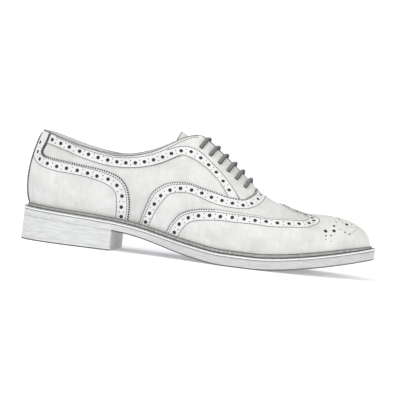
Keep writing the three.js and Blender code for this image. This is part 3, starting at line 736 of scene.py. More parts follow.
# One leather pattern as flat triangles: its border, lines that its triangles
# follow, punched holes (centre, radius) and the notches of a gimped edge
def planPattern(border, lines, holes, spacing, notches=None):
    few, many = planning["ringSides"]
    rings = [circleOn(centre, radius, many if radius > 1 else few) for centre, radius in holes]
    rings += notches or []
    chains = [np.concatenate([border, border[:1]])] + list(lines)
    chains += [np.concatenate([ring, ring[:1]]) for ring in rings]
    points, edges = [], []
    for chain in chains:
        base = len(points)
        points.extend(chain.tolist())
        edges.extend((base + k, base + k + 1) for k in range(len(chain) - 1))
    low, high = border.min(0), border.max(0)
    rowStep = spacing * math.sqrt(3) / 2
    xs = np.arange(low[0], high[0] + spacing, spacing)
    ys = np.arange(low[1], high[1] + rowStep, rowStep)
    grid = np.array([(x + (j % 2) * spacing / 2, y) for j, y in enumerate(ys) for x in xs])
    grid = grid[insideShape(grid, border)]
    fixed = np.array(points)
    nearest = inParts(lambda part: ((part[:, None] - fixed) ** 2).sum(-1).min(1), grid)
    coords = [Vector(p) for p in points]
    coords += [Vector(p) for p in grid[nearest > (planning["clear"] * spacing) ** 2]]
    found, _, triangles, _, _, _ = delaunay_2d_cdt(coords, edges, [], 0, 1e-4, False)
    place = np.array([tuple(p) for p in found])
    place[:, 0] = np.clip(place[:, 0], 0, sideReach)
    triangles = np.array([t for t in triangles if len(t) == 3])
    centre = place[triangles].mean(1)
    a, b, c = (place[triangles[:, k]] for k in range(3))
    area = 0.5 * ((b - a)[:, 0] * (c - a)[:, 1] - (b - a)[:, 1] * (c - a)[:, 0])
    kept = insideShape(centre, border) & (np.abs(area) > planning["sliver"])
    triangles, centre = triangles[kept], centre[kept]
    punched = np.zeros(len(triangles), bool)
    for ring in rings:
        reach = np.abs(ring - ring.mean(0)).max() * 1.2
        close = np.flatnonzero(np.abs(centre - ring.mean(0)).max(1) < reach)
        if len(close):
            punched[close] |= insideShape(centre[close], ring)
    return {"points": place, "triangles": triangles, "centres": centre, "punched": punched}


def borderOf(triangles):
    seen = set()
    for a, b, c in triangles.tolist():
        seen.update(((a, b), (b, c), (c, a)))
    return [edge for edge in seen if (edge[1], edge[0]) not in seen]


# The punched floor is painted dark, as the shade inside the holes and notches
punchedKind = 3  # place of the punched floor in a sheet's materials


# A pattern laid on one side of the last as a closed sheet, with a top and an
# underside. Punched places sink to a floor, or go right through; the floor and
# the walls down to it are painted dark as shade.
def layPattern(plan, side, top, low, floor=None, tops=0, unders=0, rims=2):
    place, triangles, punched = plan["points"], plan["triangles"], plan["punched"]
    count = len(place)
    heights = [top, low] if floor is None else [top, low, floor]
    sheets = [onLast(side, place, np.broadcast_to(h, (count,)))[0] for h in heights]
    topKinds = np.broadcast_to(tops, (len(triangles),))
    rimKinds = np.broadcast_to(rims, (count,))
    faces, kinds = [], []

    def put(face, kind):
        faces.append(face[::-1] if side > 0 else face)
        kinds.append(int(kind))

    solid = triangles[~punched]
    for face, kind in zip(solid.tolist(), topKinds[~punched]):
        put(tuple(face), kind)
    for a, b, c in (solid if floor is None else triangles).tolist():
        put((count + c, count + b, count + a), unders)
    outline = set(borderOf(triangles))
    walls = borderOf(solid)
    mouths, corners = set(), set()
    if floor is not None:
        for a, b, c in triangles[punched].tolist():
            put((2 * count + a, 2 * count + b, 2 * count + c), punchedKind)
        mouths = outline.difference(walls)
        corners = {k for edge in mouths for k in edge}
    for a, b in sorted(mouths):
        if not onSeam(place[a], place[b]):
            put((2 * count + b, 2 * count + a, count + a, count + b), punchedKind)
    for a, b in sorted(walls):
        if floor is None or (a, b) in outline:
            if onSeam(place[a], place[b]):
                continue
            face = [b, a]
            if a in corners:
                face.append(2 * count + a)
            face += [count + a, count + b]
            if b in corners:
                face.append(2 * count + b)
            put(tuple(face), rimKinds[a])
        else:
            put((b, a, 2 * count + a, 2 * count + b), punchedKind)
    return np.concatenate(sheets), faces, kinds


# Edges on the heel's seam, the toe's seam or the crest are welded, not rimmed
def onSeam(a, b):
    edge = 0.02
    if max(a[0], b[0]) < edge or min(a[0], b[0]) > sideReach - edge:
        return True
    crest = []
    for p in (a, b):
        at = p[0] / sideReach
        crest.append(at > last["throat"] - 1e-4 and p[1] > float(ribLength(at)) - edge)
    return all(crest)


def joined(parts):
    points, faces, kinds = [], [], []
    base = 0
    for place, faceList, kindList in parts:
        points.append(place)
        faces.extend(tuple(base + k for k in face) for face in faceList)
        kinds.extend(kindList)
        base += len(place)
    return np.concatenate(points), faces, kinds


# A closed skin over rings of points
def skin(rings, closed=False):
    rings = np.asarray(rings, float)
    count, around = rings.shape[:2]
    faces = []
    for i in range(count if closed else count - 1):
        j = (i + 1) % count
        for k in range(around):
            m = (k + 1) % around
            faces.append((i * around + k, j * around + k, j * around + m, i * around + m))
    if not closed:
        faces.append(tuple(range(around)))
        faces.append(tuple((count - 1) * around + k for k in range(around))[::-1])
    return rings.reshape(-1, 3), faces


# Round rings along a path, from two directions across it
def tube(path, first, second, radii, sides):
    turn = (np.arange(sides) * 2 * np.pi / sides)[None, :, None]
    across = np.cos(turn) * first[:, None] + np.sin(turn) * second[:, None]
    return path[:, None] + radii[:, None, None] * across


stitchShape = {
    "length": 2.35,
    "pitch": 2.5,
    "radius": 0.3,
    "rise": 0.12,
    "sink": 0.16,
    "rings": 6,
    "sides": 6,
}


# A row of separate stitches along a pattern line
def stitchRow(line, side, lift):
    shape = stitchShape
    row = resample(line, shape["pitch"])
    if len(row) < 3:
        return np.zeros((0, 3)), []
    ahead = np.gradient(row, axis=0)
    place = onLast(side, row)[0]
    reach = np.linalg.norm(np.gradient(place, axis=0), axis=1)
    rings, sides = shape["rings"], shape["sides"]
    t = np.linspace(-1, 1, rings)
    points, faces = [], []
    radii = shape["radius"] * np.sqrt(np.clip(1 - (np.abs(t) * 0.94) ** 4, 0, 1))
    heights = shape["rise"] * (1 - t ** 2) - shape["sink"] * np.abs(t) ** 3
    for i in range(1, len(row) - 1):
        step = ahead[i] / max(reach[i], 1e-6) * shape["length"] / 2
        centres, normals = onLast(side, row[i] + t[:, None] * step, lift + heights)
        along = unit(np.gradient(centres, axis=0))
        across = unit(np.cross(normals, along))
        one, ownFaces = skin(tube(centres, normals, across, radii, sides))
        base = len(points) * rings * sides
        points.append(one)
        faces.extend(tuple(base + k for k in face[::-1]) for face in ownFaces)
    return np.concatenate(points), faces


def addStitches(name, rows):
    parts = []
    for line, lift in rows:
        for side in (-1, 1):
            points, faces = stitchRow(line, side, lift)
            if len(faces):
                parts.append((points, faces, [0] * len(faces)))
    points, faces, _ = joined(parts)
    addPiece(name, points, faces, [threadGrey], weld=0, crease=80)


# Punched row: the big holes, and a pair of pinholes between each two
def punchRow(table):
    centres = flat(*np.array(table, float).T)
    holes = [(c, punches["big"]) for c in centres]
    for a, b in zip(centres[:-1], centres[1:]):
        pair = np.stack([a, (a + b) / 2, b])
        for shift in (-punches["spread"], punches["spread"]):
            holes.append((offsetLine(pair, shift)[1], punches["small"]))
    return [h for h in holes if clearOfSeam(h)]


def clearOfSeam(hole):
    centre, radius = hole
    onRib = centre[1] < float(ribLength(centre[0] / sideReach)) + 0.01
    return centre[1] > radius + punches["overWelt"] and onRib


gimping = {"pitch": 2.1, "mouth": 1.5, "floor": 1.1, "depth": 1.3, "overWelt": 3}  # mm
pressedLine = {"half": 0.16, "ink": 0.3}  # mm


# A gimped edge: its border, with a notch (a small four-sided hole) between
# each two teeth, up to a place along the last. The notches sink to the punched
# floor, painted dark as the shade between the teeth
def gimp(line, stop=1.0):
    shape = gimping
    parts = 12  # points to a tooth
    fine = resample(line, shape["pitch"] / parts)
    inner = offsetLine(fine, -shape["depth"])
    mouth, floor = (int(round(shape[k] / shape["pitch"] * parts / 2)) for k in ("mouth", "floor"))
    border, notches = [fine[0]], []
    for k in range(parts, len(fine) - parts, parts):
        if fine[k, 0] > stop * sideReach or fine[k, 1] < shape["overWelt"]:
            border += [fine[k - parts // 4], fine[k + parts // 4]]
            continue
        a, b = fine[k - mouth], fine[k + mouth]
        border += [a, b]
        notches.append(np.array([a, b, inner[k + floor], inner[k - floor]]))
    return np.array(border + [fine[-1]]), notches


# Both sides of a fine line that is pressed and inked into the leather
def pressed(line):
    row = resample(line, panelSteps["line"])
    return [offsetLine(row, half) for half in (pressedLine["half"], -pressedLine["half"])]


# A sheet's upper face rolls down to its edge
def sheetHeight(points, top, edge, roll=0.22, reach=1.0):
    near = distanceToLine(points, edge)
    return top - roll * np.clip(1 - near / reach, 0, 1) ** 2


layers = {  # upper face, underside and floor of the punched holes, in mm off the last
    "base": (0.0, -1.8),  # quarters and vamp with their lining
    "first": (1.2, -0.05, 0.12),  # counter, vamp, collar and facing
    "second": (2.4, 1.1, 1.25),  # wing
}
panelSteps = {"mesh": 2.2, "line": 1.2}  # mm between the points of a panel, and of its lines

counterPanel = {
    "edge": [
        (0.102, 1.04), (0.094, 0.872), (0.085, 0.788), (0.081, 0.73), (0.094, 0.693),
        (0.128, 0.692), (0.164, 0.712), (0.207, 0.73), (0.249, 0.74), (0.279, 0.726),
        (0.304, 0.684), (0.321, 0.604), (0.329, 0.488), (0.33, 0.368), (0.328, 0.246),
        (0.322, 0.06), (0.32, -0.06),
    ],
    "line": [
        (-0.01, 0.675), (0.027, 0.642), (0.061, 0.584), (0.097, 0.544), (0.136, 0.536),
        (0.18, 0.56), (0.222, 0.572), (0.257, 0.554), (0.282, 0.512), (0.294, 0.446),
        (0.297, 0.366), (0.295, 0.238), (0.291, 0.064), (0.29, -0.06),
    ],
    "holes": [
        (0.052, 0.834), (0.055, 0.71), (0.075, 0.628), (0.108, 0.6), (0.139, 0.598),
        (0.168, 0.616), (0.198, 0.632), (0.226, 0.632), (0.251, 0.622), (0.28, 0.61),
        (0.302, 0.54), (0.312, 0.394), (0.307, 0.23), (0.305, 0.09),
    ],
    "edgeInk": [(0, 1.3), (0.1, 1.3), (0.112, 0.28), (1, 0.28)],  # at, mm; widest on the strap
    "stitchInset": (1.7, 2.4),  # mm from the edge, behind and in front of the span
    "stitchSpan": (0.2, 0.3),
    "layer": "first",
    "names": ("counterPanel", "counterStitching", "counter"),
}
vampPanel = {
    "edge": [
        (0.346, -0.06), (0.349, 0.058), (0.36, 0.204), (0.374, 0.342), (0.391, 0.478),
        (0.413, 0.544), (0.433, 0.566), (0.467, 0.546), (0.489, 0.532), (0.511, 0.518),
        (0.547, 0.536), (0.582, 0.549), (0.606, 0.572), (0.628, 0.61), (0.65, 0.72),
        (0.67, 0.87), (0.684, 1.06),
    ],
    "line": [
        (0.37, -0.06), (0.374, 0.06), (0.382, 0.15), (0.396, 0.268), (0.417, 0.386),
        (0.436, 0.446), (0.458, 0.452), (0.484, 0.44), (0.511, 0.422), (0.546, 0.418),
        (0.582, 0.432), (0.618, 0.468), (0.643, 0.524), (0.671, 0.65), (0.7, 0.86),
        (0.714, 1.03),
    ],
    "holes": [
        (0.367, 0.096), (0.379, 0.22), (0.394, 0.342), (0.413, 0.44), (0.437, 0.486),
        (0.462, 0.488), (0.489, 0.47), (0.515, 0.466), (0.54, 0.464), (0.568, 0.476),
        (0.596, 0.492), (0.625, 0.522), (0.651, 0.612), (0.675, 0.766), (0.69, 0.91),
    ],
    "edgeInk": [(0, 0.28), (0.58, 0.28), (0.6, 0.5), (1, 0.5)],
    "underWing": 6.0,  # mm
    "stitchInset": (2.6, 1.7),
    "stitchSpan": (0.42, 0.5),
    "layer": "first",
    "names": ("vampPanel", "vampStitching", "vamp"),
}
wingPanel = {
    "edge": [
        (0.408, -0.06), (0.42, 0.05), (0.432, 0.148), (0.454, 0.244), (0.475, 0.284),
        (0.5, 0.31), (0.535, 0.352), (0.558, 0.372), (0.593, 0.392), (0.629, 0.422),
        (0.675, 0.468), (0.727, 0.502), (0.76, 0.534), (0.798, 0.582), (0.817, 0.655),
        (0.82, 0.725), (0.808, 0.768), (0.788, 0.796), (0.772, 0.84), (0.762, 0.91),
        (0.757, 1.06),
    ],
    "line": [
        (0.441, -0.06), (0.456, 0.072), (0.465, 0.128), (0.481, 0.184), (0.512, 0.228),
        (0.559, 0.276), (0.606, 0.3), (0.651, 0.332), (0.673, 0.342), (0.71, 0.353),
        (0.751, 0.376), (0.792, 0.402), (0.811, 0.435), (0.828, 0.48), (0.843, 0.53),
        (0.858, 0.62), (0.862, 0.71), (0.853, 0.79), (0.836, 0.86), (0.818, 0.93),
        (0.806, 1.03),
    ],
    "holes": [
        (0.443, 0.072), (0.456, 0.16), (0.48, 0.226), (0.507, 0.26), (0.536, 0.294),
        (0.564, 0.314), (0.595, 0.338), (0.626, 0.358), (0.655, 0.38), (0.685, 0.407),
        (0.715, 0.412), (0.747, 0.428), (0.777, 0.457), (0.811, 0.508), (0.835, 0.595),
        (0.842, 0.695), (0.83, 0.79), (0.805, 0.862), (0.784, 0.94),
    ],
    "medallion": [
        (0.847, 0.348, 1.55), (0.872, 0.348, 1.55), (0.933, 0.476, 1.5), (0.883, 0.446, 1.1),
        (0.842, 0.268, 0.75), (0.857, 0.272, 0.75), (0.902, 0.31, 0.75), (0.913, 0.272, 0.75),
        (0.957, 0.484, 0.7), (0.928, 0.544, 0.7), (0.905, 0.55, 0.75), (0.935, 0.632, 0.75),
        (0.887, 0.374, 0.42), (0.893, 0.37, 0.42), (0.899, 0.366, 0.42), (0.839, 0.214, 0.42),
        (0.852, 0.184, 0.42), (0.922, 0.434, 0.42), (0.93, 0.416, 0.42), (0.938, 0.402, 0.42),
        (0.947, 0.396, 0.42), (0.957, 0.398, 0.42), (0.967, 0.406, 0.42), (0.922, 0.286, 0.42),
        (0.93, 0.304, 0.42), (0.938, 0.322, 0.42), (0.946, 0.338, 0.42), (0.954, 0.352, 0.42),
        (0.962, 0.368, 0.42), (0.912, 0.62, 0.55), (0.95, 0.71, 0.9), (0.97, 0.8, 0.6),
        (0.93, 0.78, 0.55),
    ],
    "edgeInk": [(0, 0.28), (0.545, 0.28), (0.56, 0.5), (0.75, 0.42), (0.79, 0.22), (1, 0.22)],
    "stitchInset": (2.6, 2.2),
    "stitchSpan": (0.5, 0.6),
    "gimpedUpTo": 0.55,  # at; the edge is cut straight in front
    "inkedUpTo": 0.745,
    "layer": "second",
    "names": ("wingCap", "wingStitching", "wing_cap"),
}
collarPanel = {
    "edge": [
        (0.098, 0.855), (0.164, 0.854), (0.202, 0.836), (0.237, 0.826), (0.271, 0.814),
        (0.315, 0.808), (0.357, 0.804), (0.402, 0.804), (0.433, 0.804), (0.458, 0.81),
        (0.47, 0.802), (0.487, 0.768), (0.51, 0.734), (0.534, 0.714), (0.559, 0.668),
        (0.573, 0.614), (0.589, 0.53),
    ],
    "line": [
        (0.12, 0.978), (0.189, 0.971), (0.249, 0.956), (0.31, 0.944), (0.37, 0.94),
        (0.42, 0.944), (0.455, 0.958), (0.486, 0.975), (0.5, 0.972),
    ],
    "stripTop": [
        (0.425, 0.93), (0.446, 0.916), (0.473, 0.886), (0.496, 0.852), (0.52, 0.828),
        (0.546, 0.798), (0.572, 0.76), (0.596, 0.686), (0.612, 0.606), (0.619, 0.57),
    ],
    "holes": [
        (0.114, 0.922), (0.146, 0.92), (0.173, 0.92), (0.203, 0.912), (0.228, 0.908),
        (0.254, 0.898), (0.28, 0.892), (0.304, 0.882), (0.327, 0.872), (0.351, 0.867),
        (0.374, 0.866), (0.397, 0.866), (0.419, 0.866), (0.439, 0.865), (0.461, 0.854),
        (0.485, 0.826), (0.51, 0.785), (0.532, 0.764), (0.553, 0.738), (0.572, 0.688),
        (0.588, 0.624),
    ],
    "edgeInk": [(0, 0.33), (1, 0.33)],
    "band": 0.35,  # mm of inked band along the edge
    "offVamp": (0.8, 20),  # mm off the vamp's edge, and over how far from where they meet
    "edgeReach": 0.4,  # mm; points that near count as on the edge
    "stripFrom": 0.09,  # at
    "inkedUpTo": 0.46,  # at; the cut edge is bare leather in front
    "tuck": 0.75,  # mm, and over how far, where it goes under vamp and counter
    "tuckReach": 5,
    "eyelets": [
        (0.509, 0.893), (0.536, 0.88), (0.563, 0.87), (0.588, 0.853), (0.612, 0.833),
        (0.637, 0.81),
    ],
}
punches = {"big": 1.62, "small": 0.5, "spread": 1.75, "eyelet": 1.9, "overWelt": 3.2}  # mm


# Material of each triangle: the panel's or the strip's, or ink on the pressed
# line and along the edge, as wide as a table says
def toneOf(plan, strip, edge, ink, line):
    centre = plan["centres"]
    tone = np.where(insideShape(centre, strip), 1, 0)
    tone[distanceToLine(centre, edge) < readTable(ink, centre[:, 0] / sideReach)] = 2
    tone[distanceToLine(centre, line) < pressedLine["ink"]] = 2
    return tone


# Where the ink along an edge ends
def inkLine(edge, ink):
    row = resample(edge, panelSteps["line"])
    return offsetLine(row, -readTable(ink, row[:, 0] / sideReach))


# A row of stitches a little inside an edge, nearer or farther along the last
def insetRow(edge, insets, span):
    row = resample(edge, panelSteps["line"])
    share = ease((row[:, 0] / sideReach - span[0]) / (span[1] - span[0]))
    return offsetLine(row, -(insets[0] + (insets[1] - insets[0]) * share))


# Material order of every overlay: panel, strip, dyed edge, and the punched floor and walls, painted
# dark as shade
overlayMaterials = [panelLeather, stripLeather, dyedEdge, paintedHoleShade]


# A plan laid on the last as a piece of its own. Heights are a row of the layers.
def addSheet(name, plan, heights, tone=0, rims=2, nodes=(), sides=(-1, 1), under=0,
             materials=overlayMaterials):
    parts = [layPattern(plan, side, *heights, tops=tone, unders=under, rims=rims) for side in sides]
    points, faces, kinds = joined(parts)
    addPiece(name, points, faces, materials, kinds, nodes=nodes)


def edgeAndEnds(panel):
    edge = patternLine(panel["edge"])
    return edge, edge[0, 0] / sideReach, edge[-1, 0] / sideReach


# A panel with a gimped edge: before and after are the rest of its border
def buildPanel(panel, edge, line, before, after=(), corner=()):
    name, stitchName, node = panel["names"]
    gimped, notches = gimp(edge, panel.get("gimpedUpTo", 1.0))
    border = np.concatenate([*before, gimped[::-1], *after])
    stitched = insetRow(edge, panel["stitchInset"], panel["stitchSpan"])
    holes = punchRow(panel["holes"])
    holes += [(flat(at, up), radius) for at, up, radius in panel.get("medallion", ())]
    lines = [inkLine(edge, panel["edgeInk"])] + pressed(line)
    plan = planPattern(border, lines, holes, panelSteps["mesh"], notches)
    strip = np.concatenate([edge, line[::-1], *corner])
    tone = toneOf(plan, strip, edge, panel["edgeInk"], line)
    high, low, floor = layers[panel["layer"]]
    top = sheetHeight(plan["points"], high, edge)
    rims = np.where(plan["points"][:, 0] > panel.get("inkedUpTo", 1.0) * sideReach, 1, 2)
    addSheet(name, plan, (top, low, floor), tone, rims, [node])
    addStitches(stitchName, [(stitched, high), (line, high)])


def buildCounter():
    edge, top, foot = edgeAndEnds(counterPanel)
    line = patternLine(counterPanel["line"])
    line = line[line[:, 0] > 0]
    line = np.concatenate([[[0.0, line[0, 1]]], line])
    before = [alongRow(0, foot, 0)[:-1]]
    after = [alongRow(top, 0, 1)[1:-1], alongRib(0, 1, 0)[:-1]]
    buildPanel(counterPanel, edge, line, before, after, [flat([0], [1])])


def buildVamp():
    edge, foot, top = edgeAndEnds(vampPanel)
    hidden = offsetLine(resample(patternLine(wingPanel["edge"]), 2.0), -vampPanel["underWing"])
    hidden[:, 1] = np.clip(hidden[:, 1], 0, ribLength(hidden[:, 0] / sideReach))
    start, end = hidden[0, 0] / sideReach, hidden[-1, 0] / sideReach
    hidden[0, 1] = 0
    hidden[-1, 1] = ribLength(end)
    before = [alongRow(foot, start, 0)[:-1], hidden, alongRow(end, top, 1)[1:-1]]
    buildPanel(vampPanel, edge, patternLine(vampPanel["line"]), before)


def buildWing():
    edge, foot, top = edgeAndEnds(wingPanel)
    before = [alongRow(foot, 1, 0)[:-1], alongRib(1, 0, 1)[:-1], alongRow(1, top, 1)[:-1]]
    buildPanel(wingPanel, edge, patternLine(wingPanel["line"]), before)


def eyeletHoles():
    return [(flat(at, up), punches["eyelet"]) for at, up in collarPanel["eyelets"]]


def buildCollar():
    panel = collarPanel
    step = panelSteps["line"]
    edge = patternLine(panel["edge"])
    vampEdge = patternLine(vampPanel["edge"])
    counterEdge = patternLine(counterPanel["edge"])
    meet = np.argmin(((vampEdge - edge[-1]) ** 2).sum(-1))
    front = vampEdge[meet:]
    back = counterEdge[counterEdge[:, 1] > edge[0, 1]]
    top = alongRow(front[-1, 0] / sideReach, back[0, 0] / sideReach, 1)
    clear, reach = panel["offVamp"]
    edge = edge[(distanceToLine(edge, vampEdge) > clear) | (edge[:, 0] < front[0, 0] - reach)]
    border = np.concatenate([resample(edge, step), front, top[1:-1], back])
    band = offsetLine(resample(edge, step), panel["band"])
    topStitch = patternLine(panel["line"])
    stripTop = patternLine(panel["stripTop"])
    holes = punchRow(panel["holes"]) + eyeletHoles()
    plan = planPattern(border, [band] + pressed(stripTop), holes, panelSteps["mesh"])
    rear = alongRow(stripTop[0, 0] / sideReach, panel["stripFrom"], 1)
    strip = np.concatenate([edge, front[:1], stripTop[::-1], rear])
    tone = toneOf(plan, strip, edge, panel["edgeInk"], stripTop)
    high, low, floor = layers["first"]
    points = plan["points"]
    height = sheetHeight(points, high, edge)
    tuck = np.minimum(distanceToLine(points, front), distanceToLine(points, back))
    height -= panel["tuck"] * (1 - ease(tuck / panel["tuckReach"]))
    onEdge = distanceToLine(points, edge) < panel["edgeReach"]
    rims = np.where(onEdge & (points[:, 0] > panel["inkedUpTo"] * sideReach), 0, 2)
    for side, name, node in ((-1, "collarOuter", "facing_outer"), (1, "collarInner", "facing_inner")):
        addSheet(name, plan, (height, low, floor), tone, rims, [node], (side,))
    addStitches("collarStitching", [(stripTop, high), (topStitch, high)])


heelStrip = {
    "half": 4.4,  # mm
    "thick": 0.9,
    "low": 0.9,
    "proud": 0.08,
    "start": 0.02,  # share of the rib
    "thinFrom": 0.93,
    "thinOver": 0.06,
    "stitchInset": 1.5,
    "mesh": 1.6,
}


# Narrow strip over the seam at the back of the heel
def buildHeelStrip():
    half, start, end = (heelStrip[k] for k in ("half", "start", "thinFrom"))
    at = half / sideReach
    border = np.concatenate([
        alongRow(0, at, start)[:-1], alongRib(at, start, 1)[:-1],
        alongRow(at, 0, 1)[:-1], alongRib(0, 1, start)[:-1],
    ])
    inset = alongRib((half - heelStrip["stitchInset"]) / sideReach, 0.05, end)
    plan = planPattern(border, [], [], heelStrip["mesh"])
    rise = 1 - ease((plan["points"][:, 1] / ribLength(0.0) - end) / heelStrip["thinOver"])
    top = layers["first"][0] + heelStrip["proud"]
    high = top + heelStrip["thick"]
    addSheet("heelStrip", plan, (top + heelStrip["thick"] * rise, heelStrip["low"]))
    addStitches("heelStripStitching", [(inset, high)])


upperSteps = {"mesh": 3.0, "border": 2.0}  # mm


def buildUpper():
    throat, step = last["throat"], upperSteps["border"]
    border = np.concatenate([
        alongRow(0, 1, 0, step)[:-1], alongRib(1, 0, 1, step)[:-1],
        alongRow(1, throat, 1, step)[:-1], alongRow(throat, 0, 1)[:-1],
        alongRib(0, 1, 0, step)[:-1],
    ])
    plan = planPattern(border, [], eyeletHoles(), upperSteps["mesh"])
    addSheet("upperShell", plan, layers["base"], nodes=["upper"], under=1,
             materials=[panelLeather, liningLeather, dyedEdge])


buildUpper()
buildCounter()
buildVamp()
buildWing()
buildCollar()
buildHeelStrip()


# A plate inside the sole outline. The profile gives inset, share of the height,
# lift and the finish of the face above, from the bottom's middle round the edge
# to the top's middle. The three last finishes are for top, bottom and ends.
def solePlate(places, profile, bottom, top, finishes=(0, 0, 0), fill=6):
    sides = {}
    for side in (-1, 1):
        ring = []
        for inset, share, lift, _ in profile:
            point, _ = outlinePoint(side, places, np.full_like(places, inset))
            low, high = bottom(point[:, 0]), top(point[:, 0])
            point[:, 2] = low + (high - low) * share + lift
            ring.append(point)
        sides[side] = np.stack(ring, 1)
    outer, inner = sides[-1], sides[1][:, ::-1]
    share = (np.arange(1, fill) / fill)[None, :, None]

    def across(a, b, height):
        middle = a[:, None] * (1 - share) + b[:, None] * share
        lift = a[:, None, 2:] - height(a[:, None, :1])
        middle[..., 2:] = height(middle[..., :1]) + lift
        return middle

    topFill = across(outer[:, -1], inner[:, 0], top)
    bottomFill = across(inner[:, -1], outer[:, 0], bottom)
    rings = np.concatenate([outer, topFill, inner, bottomFill], 1)
    points, faces = skin(rings)
    edge = [row[3] for row in profile[:-1]]
    topKind, bottomKind, endKind = finishes
    pattern = edge + [topKind] * fill + edge[::-1] + [bottomKind] * fill
    kinds = [pattern[face[0] % rings.shape[1]] for face in faces[:-2]]
    return points, faces, kinds + [endKind] * 2


soleShape = {
    "stations": 260,
    # inset, share of the height, lift, finish of the face above it
    "profile": [
        (4.0, 0, 0.0, 2), (1.0, 0, 0.0, 1), (0.4, 0, 0.12, 1), (0.06, 0, 0.5, 1), (0.0, 0, 1.1, 0),
        (0.0, 0.5, 0.0, 0), (0.0, 1, -0.3, 0), (0.04, 1, -0.1, 0), (0.3, 1, 0.0, 0),
        (6.0, 1, 0.0, 0),
    ],
}
heelShape = {
    "topPiece": 3.2,
    "breast": 0.273,
    "lifts": 4,
    "groove": 0.05,  # between the lifts
    "clear": 0.02,
    "stations": 120,
    "step": 0.0005,
    "topProfile": [
        (4.0, 0, 0.0, 1), (0.7, 0, 0.0, 1), (0.25, 0, 0.12, 1), (0.0, 0, 1.05, 0),
        (0.0, 1, -0.25, 0), (0.12, 1, 0, 0), (5.0, 1, 0, 0),
    ],
}
heelBreast = heelShape["breast"] * last["soleLength"]


def buildOutsole():
    places = np.linspace(0, 1, soleShape["stations"])
    points, faces, kinds = solePlate(places, soleShape["profile"], underside, outsoleTop, (0, 2, 0))
    for i, face in enumerate(faces):  # the inked lower edge starts at the heel's front
        x, _, z = points[face[0]]
        if kinds[i] == 1 and z < last["heelHeight"] + 2 and x < heelBreast:
            kinds[i] = 0
    addPiece("outsoleLeather", points, faces, [soleEdge, soleDark, soleBottom], kinds,
             nodes=["outsole"])


def heelPlaces():
    front = 0.0
    while outlinePoint(-1, np.array([front]))[0][0, 0] < heelBreast:
        front += heelShape["step"]
    return np.linspace(0, front, heelShape["stations"])


def buildHeel():
    places = heelPlaces()
    clear, groove, lifts, topPiece = (heelShape[k] for k in ("clear", "groove", "lifts", "topPiece"))
    profile = [(5.0, 0, 0.0, 0), (0.2, 0, 0.0, 0)]
    for k in range(lifts):
        start, end = k / lifts, (k + 1) / lifts
        profile += [
            (groove, start, 0.04, 0), (0, start, 0.2, 0), (0, end, -0.2, 0), (groove, end, -0.04, 0),
        ]
    profile += [(0.2, 1, 0.0, 0), (6.0, 1, 0.0, 0)]
    points, faces, kinds = solePlate(
        places, profile, lambda x: topPiece + clear + 0 * x, lambda x: underside(x) + clear, (0, 0, 1),
    )
    addPiece("heelLifts", points, faces, [heelLeather, heelFront], kinds, crease=28,
             nodes=["heel_stack"])
    points, faces, kinds = solePlate(
        places, heelShape["topProfile"], lambda x: 0 * x, lambda x: 0 * x + topPiece, (0, 1, 2),
    )
    addPiece("heelTopPiece", points, faces, [heelLeather, heelRubber, heelFront], kinds,
             nodes=["top_piece"])


insoleShape = {"thick": 3.0, "inset": 9.2, "stations": 200, "fill": 8}


def buildInsole():
    places = np.linspace(0, 1, insoleShape["stations"])
    edge = insoleShape["inset"]
    profile = [
        (edge + 3, 0, 0, 0), (edge + 0.3, 0, 0, 0), (edge, 0.3, 0, 0), (edge, 0.8, 0, 0),
        (edge + 0.5, 1, 0, 0), (edge + 3, 1, 0, 0),
    ]

    def base(x):
        return weltTop(x) + last["gap"]

    def top(x):
        return base(x) + insoleShape["thick"]

    points, faces, kinds = solePlate(places, profile, base, top, fill=insoleShape["fill"])
    addPiece("insoleSock", points, faces, [sockLeather], kinds,
             nodes=["insole"])


weltShape = {
    "reach": 14.0,
    "under": 0.25,  # mm that the underside goes into the gap over the outsole
    "clear": 1.2,  # off the upper behind, and twice that in front
    "clearSpan": (0.34, 0.06),  # at, over: where it grows
    # the next four are tables of at and mm
    "ribHeight": [(0, 2.9), (0.25, 3.1), (0.5, 3.8), (0.88, 3.7), (1, 2.0)],
    "lip": [(0, 3.0), (0.06, 1.3), (0.9, 1.3), (1, 2.9)],  # rib's face to the edge
    "pale": [(0, 1.05), (0.4, 1.0), (0.58, 0.5), (1, 0.6)],  # depth where the pale edge starts
    "darkFrom": [(0, 2.2), (0.35, 2.15), (0.55, 1.7), (0.92, 1.7), (1, 2.0)],  # where it ends
    # The line under the pale edge is painted shade, where the welt meets the outsole
    "line": 0.5,  # mm of dark line under it
    "pitch": 0.62,
    "notch": 2.3,  # mm between the wheel's marks
    # finish of each face round the profile: 0 pale edge, 1 rib, dark partly as painted crease shade, 2
    # painted shade in the grooves and the line under the pale edge, 3 sole edge
    "finish": [0, 0, 0, 2, 1, 1, 2, 1, 2, 2, 2, 1, 1, 1, 0, 2, 3, 3],
}


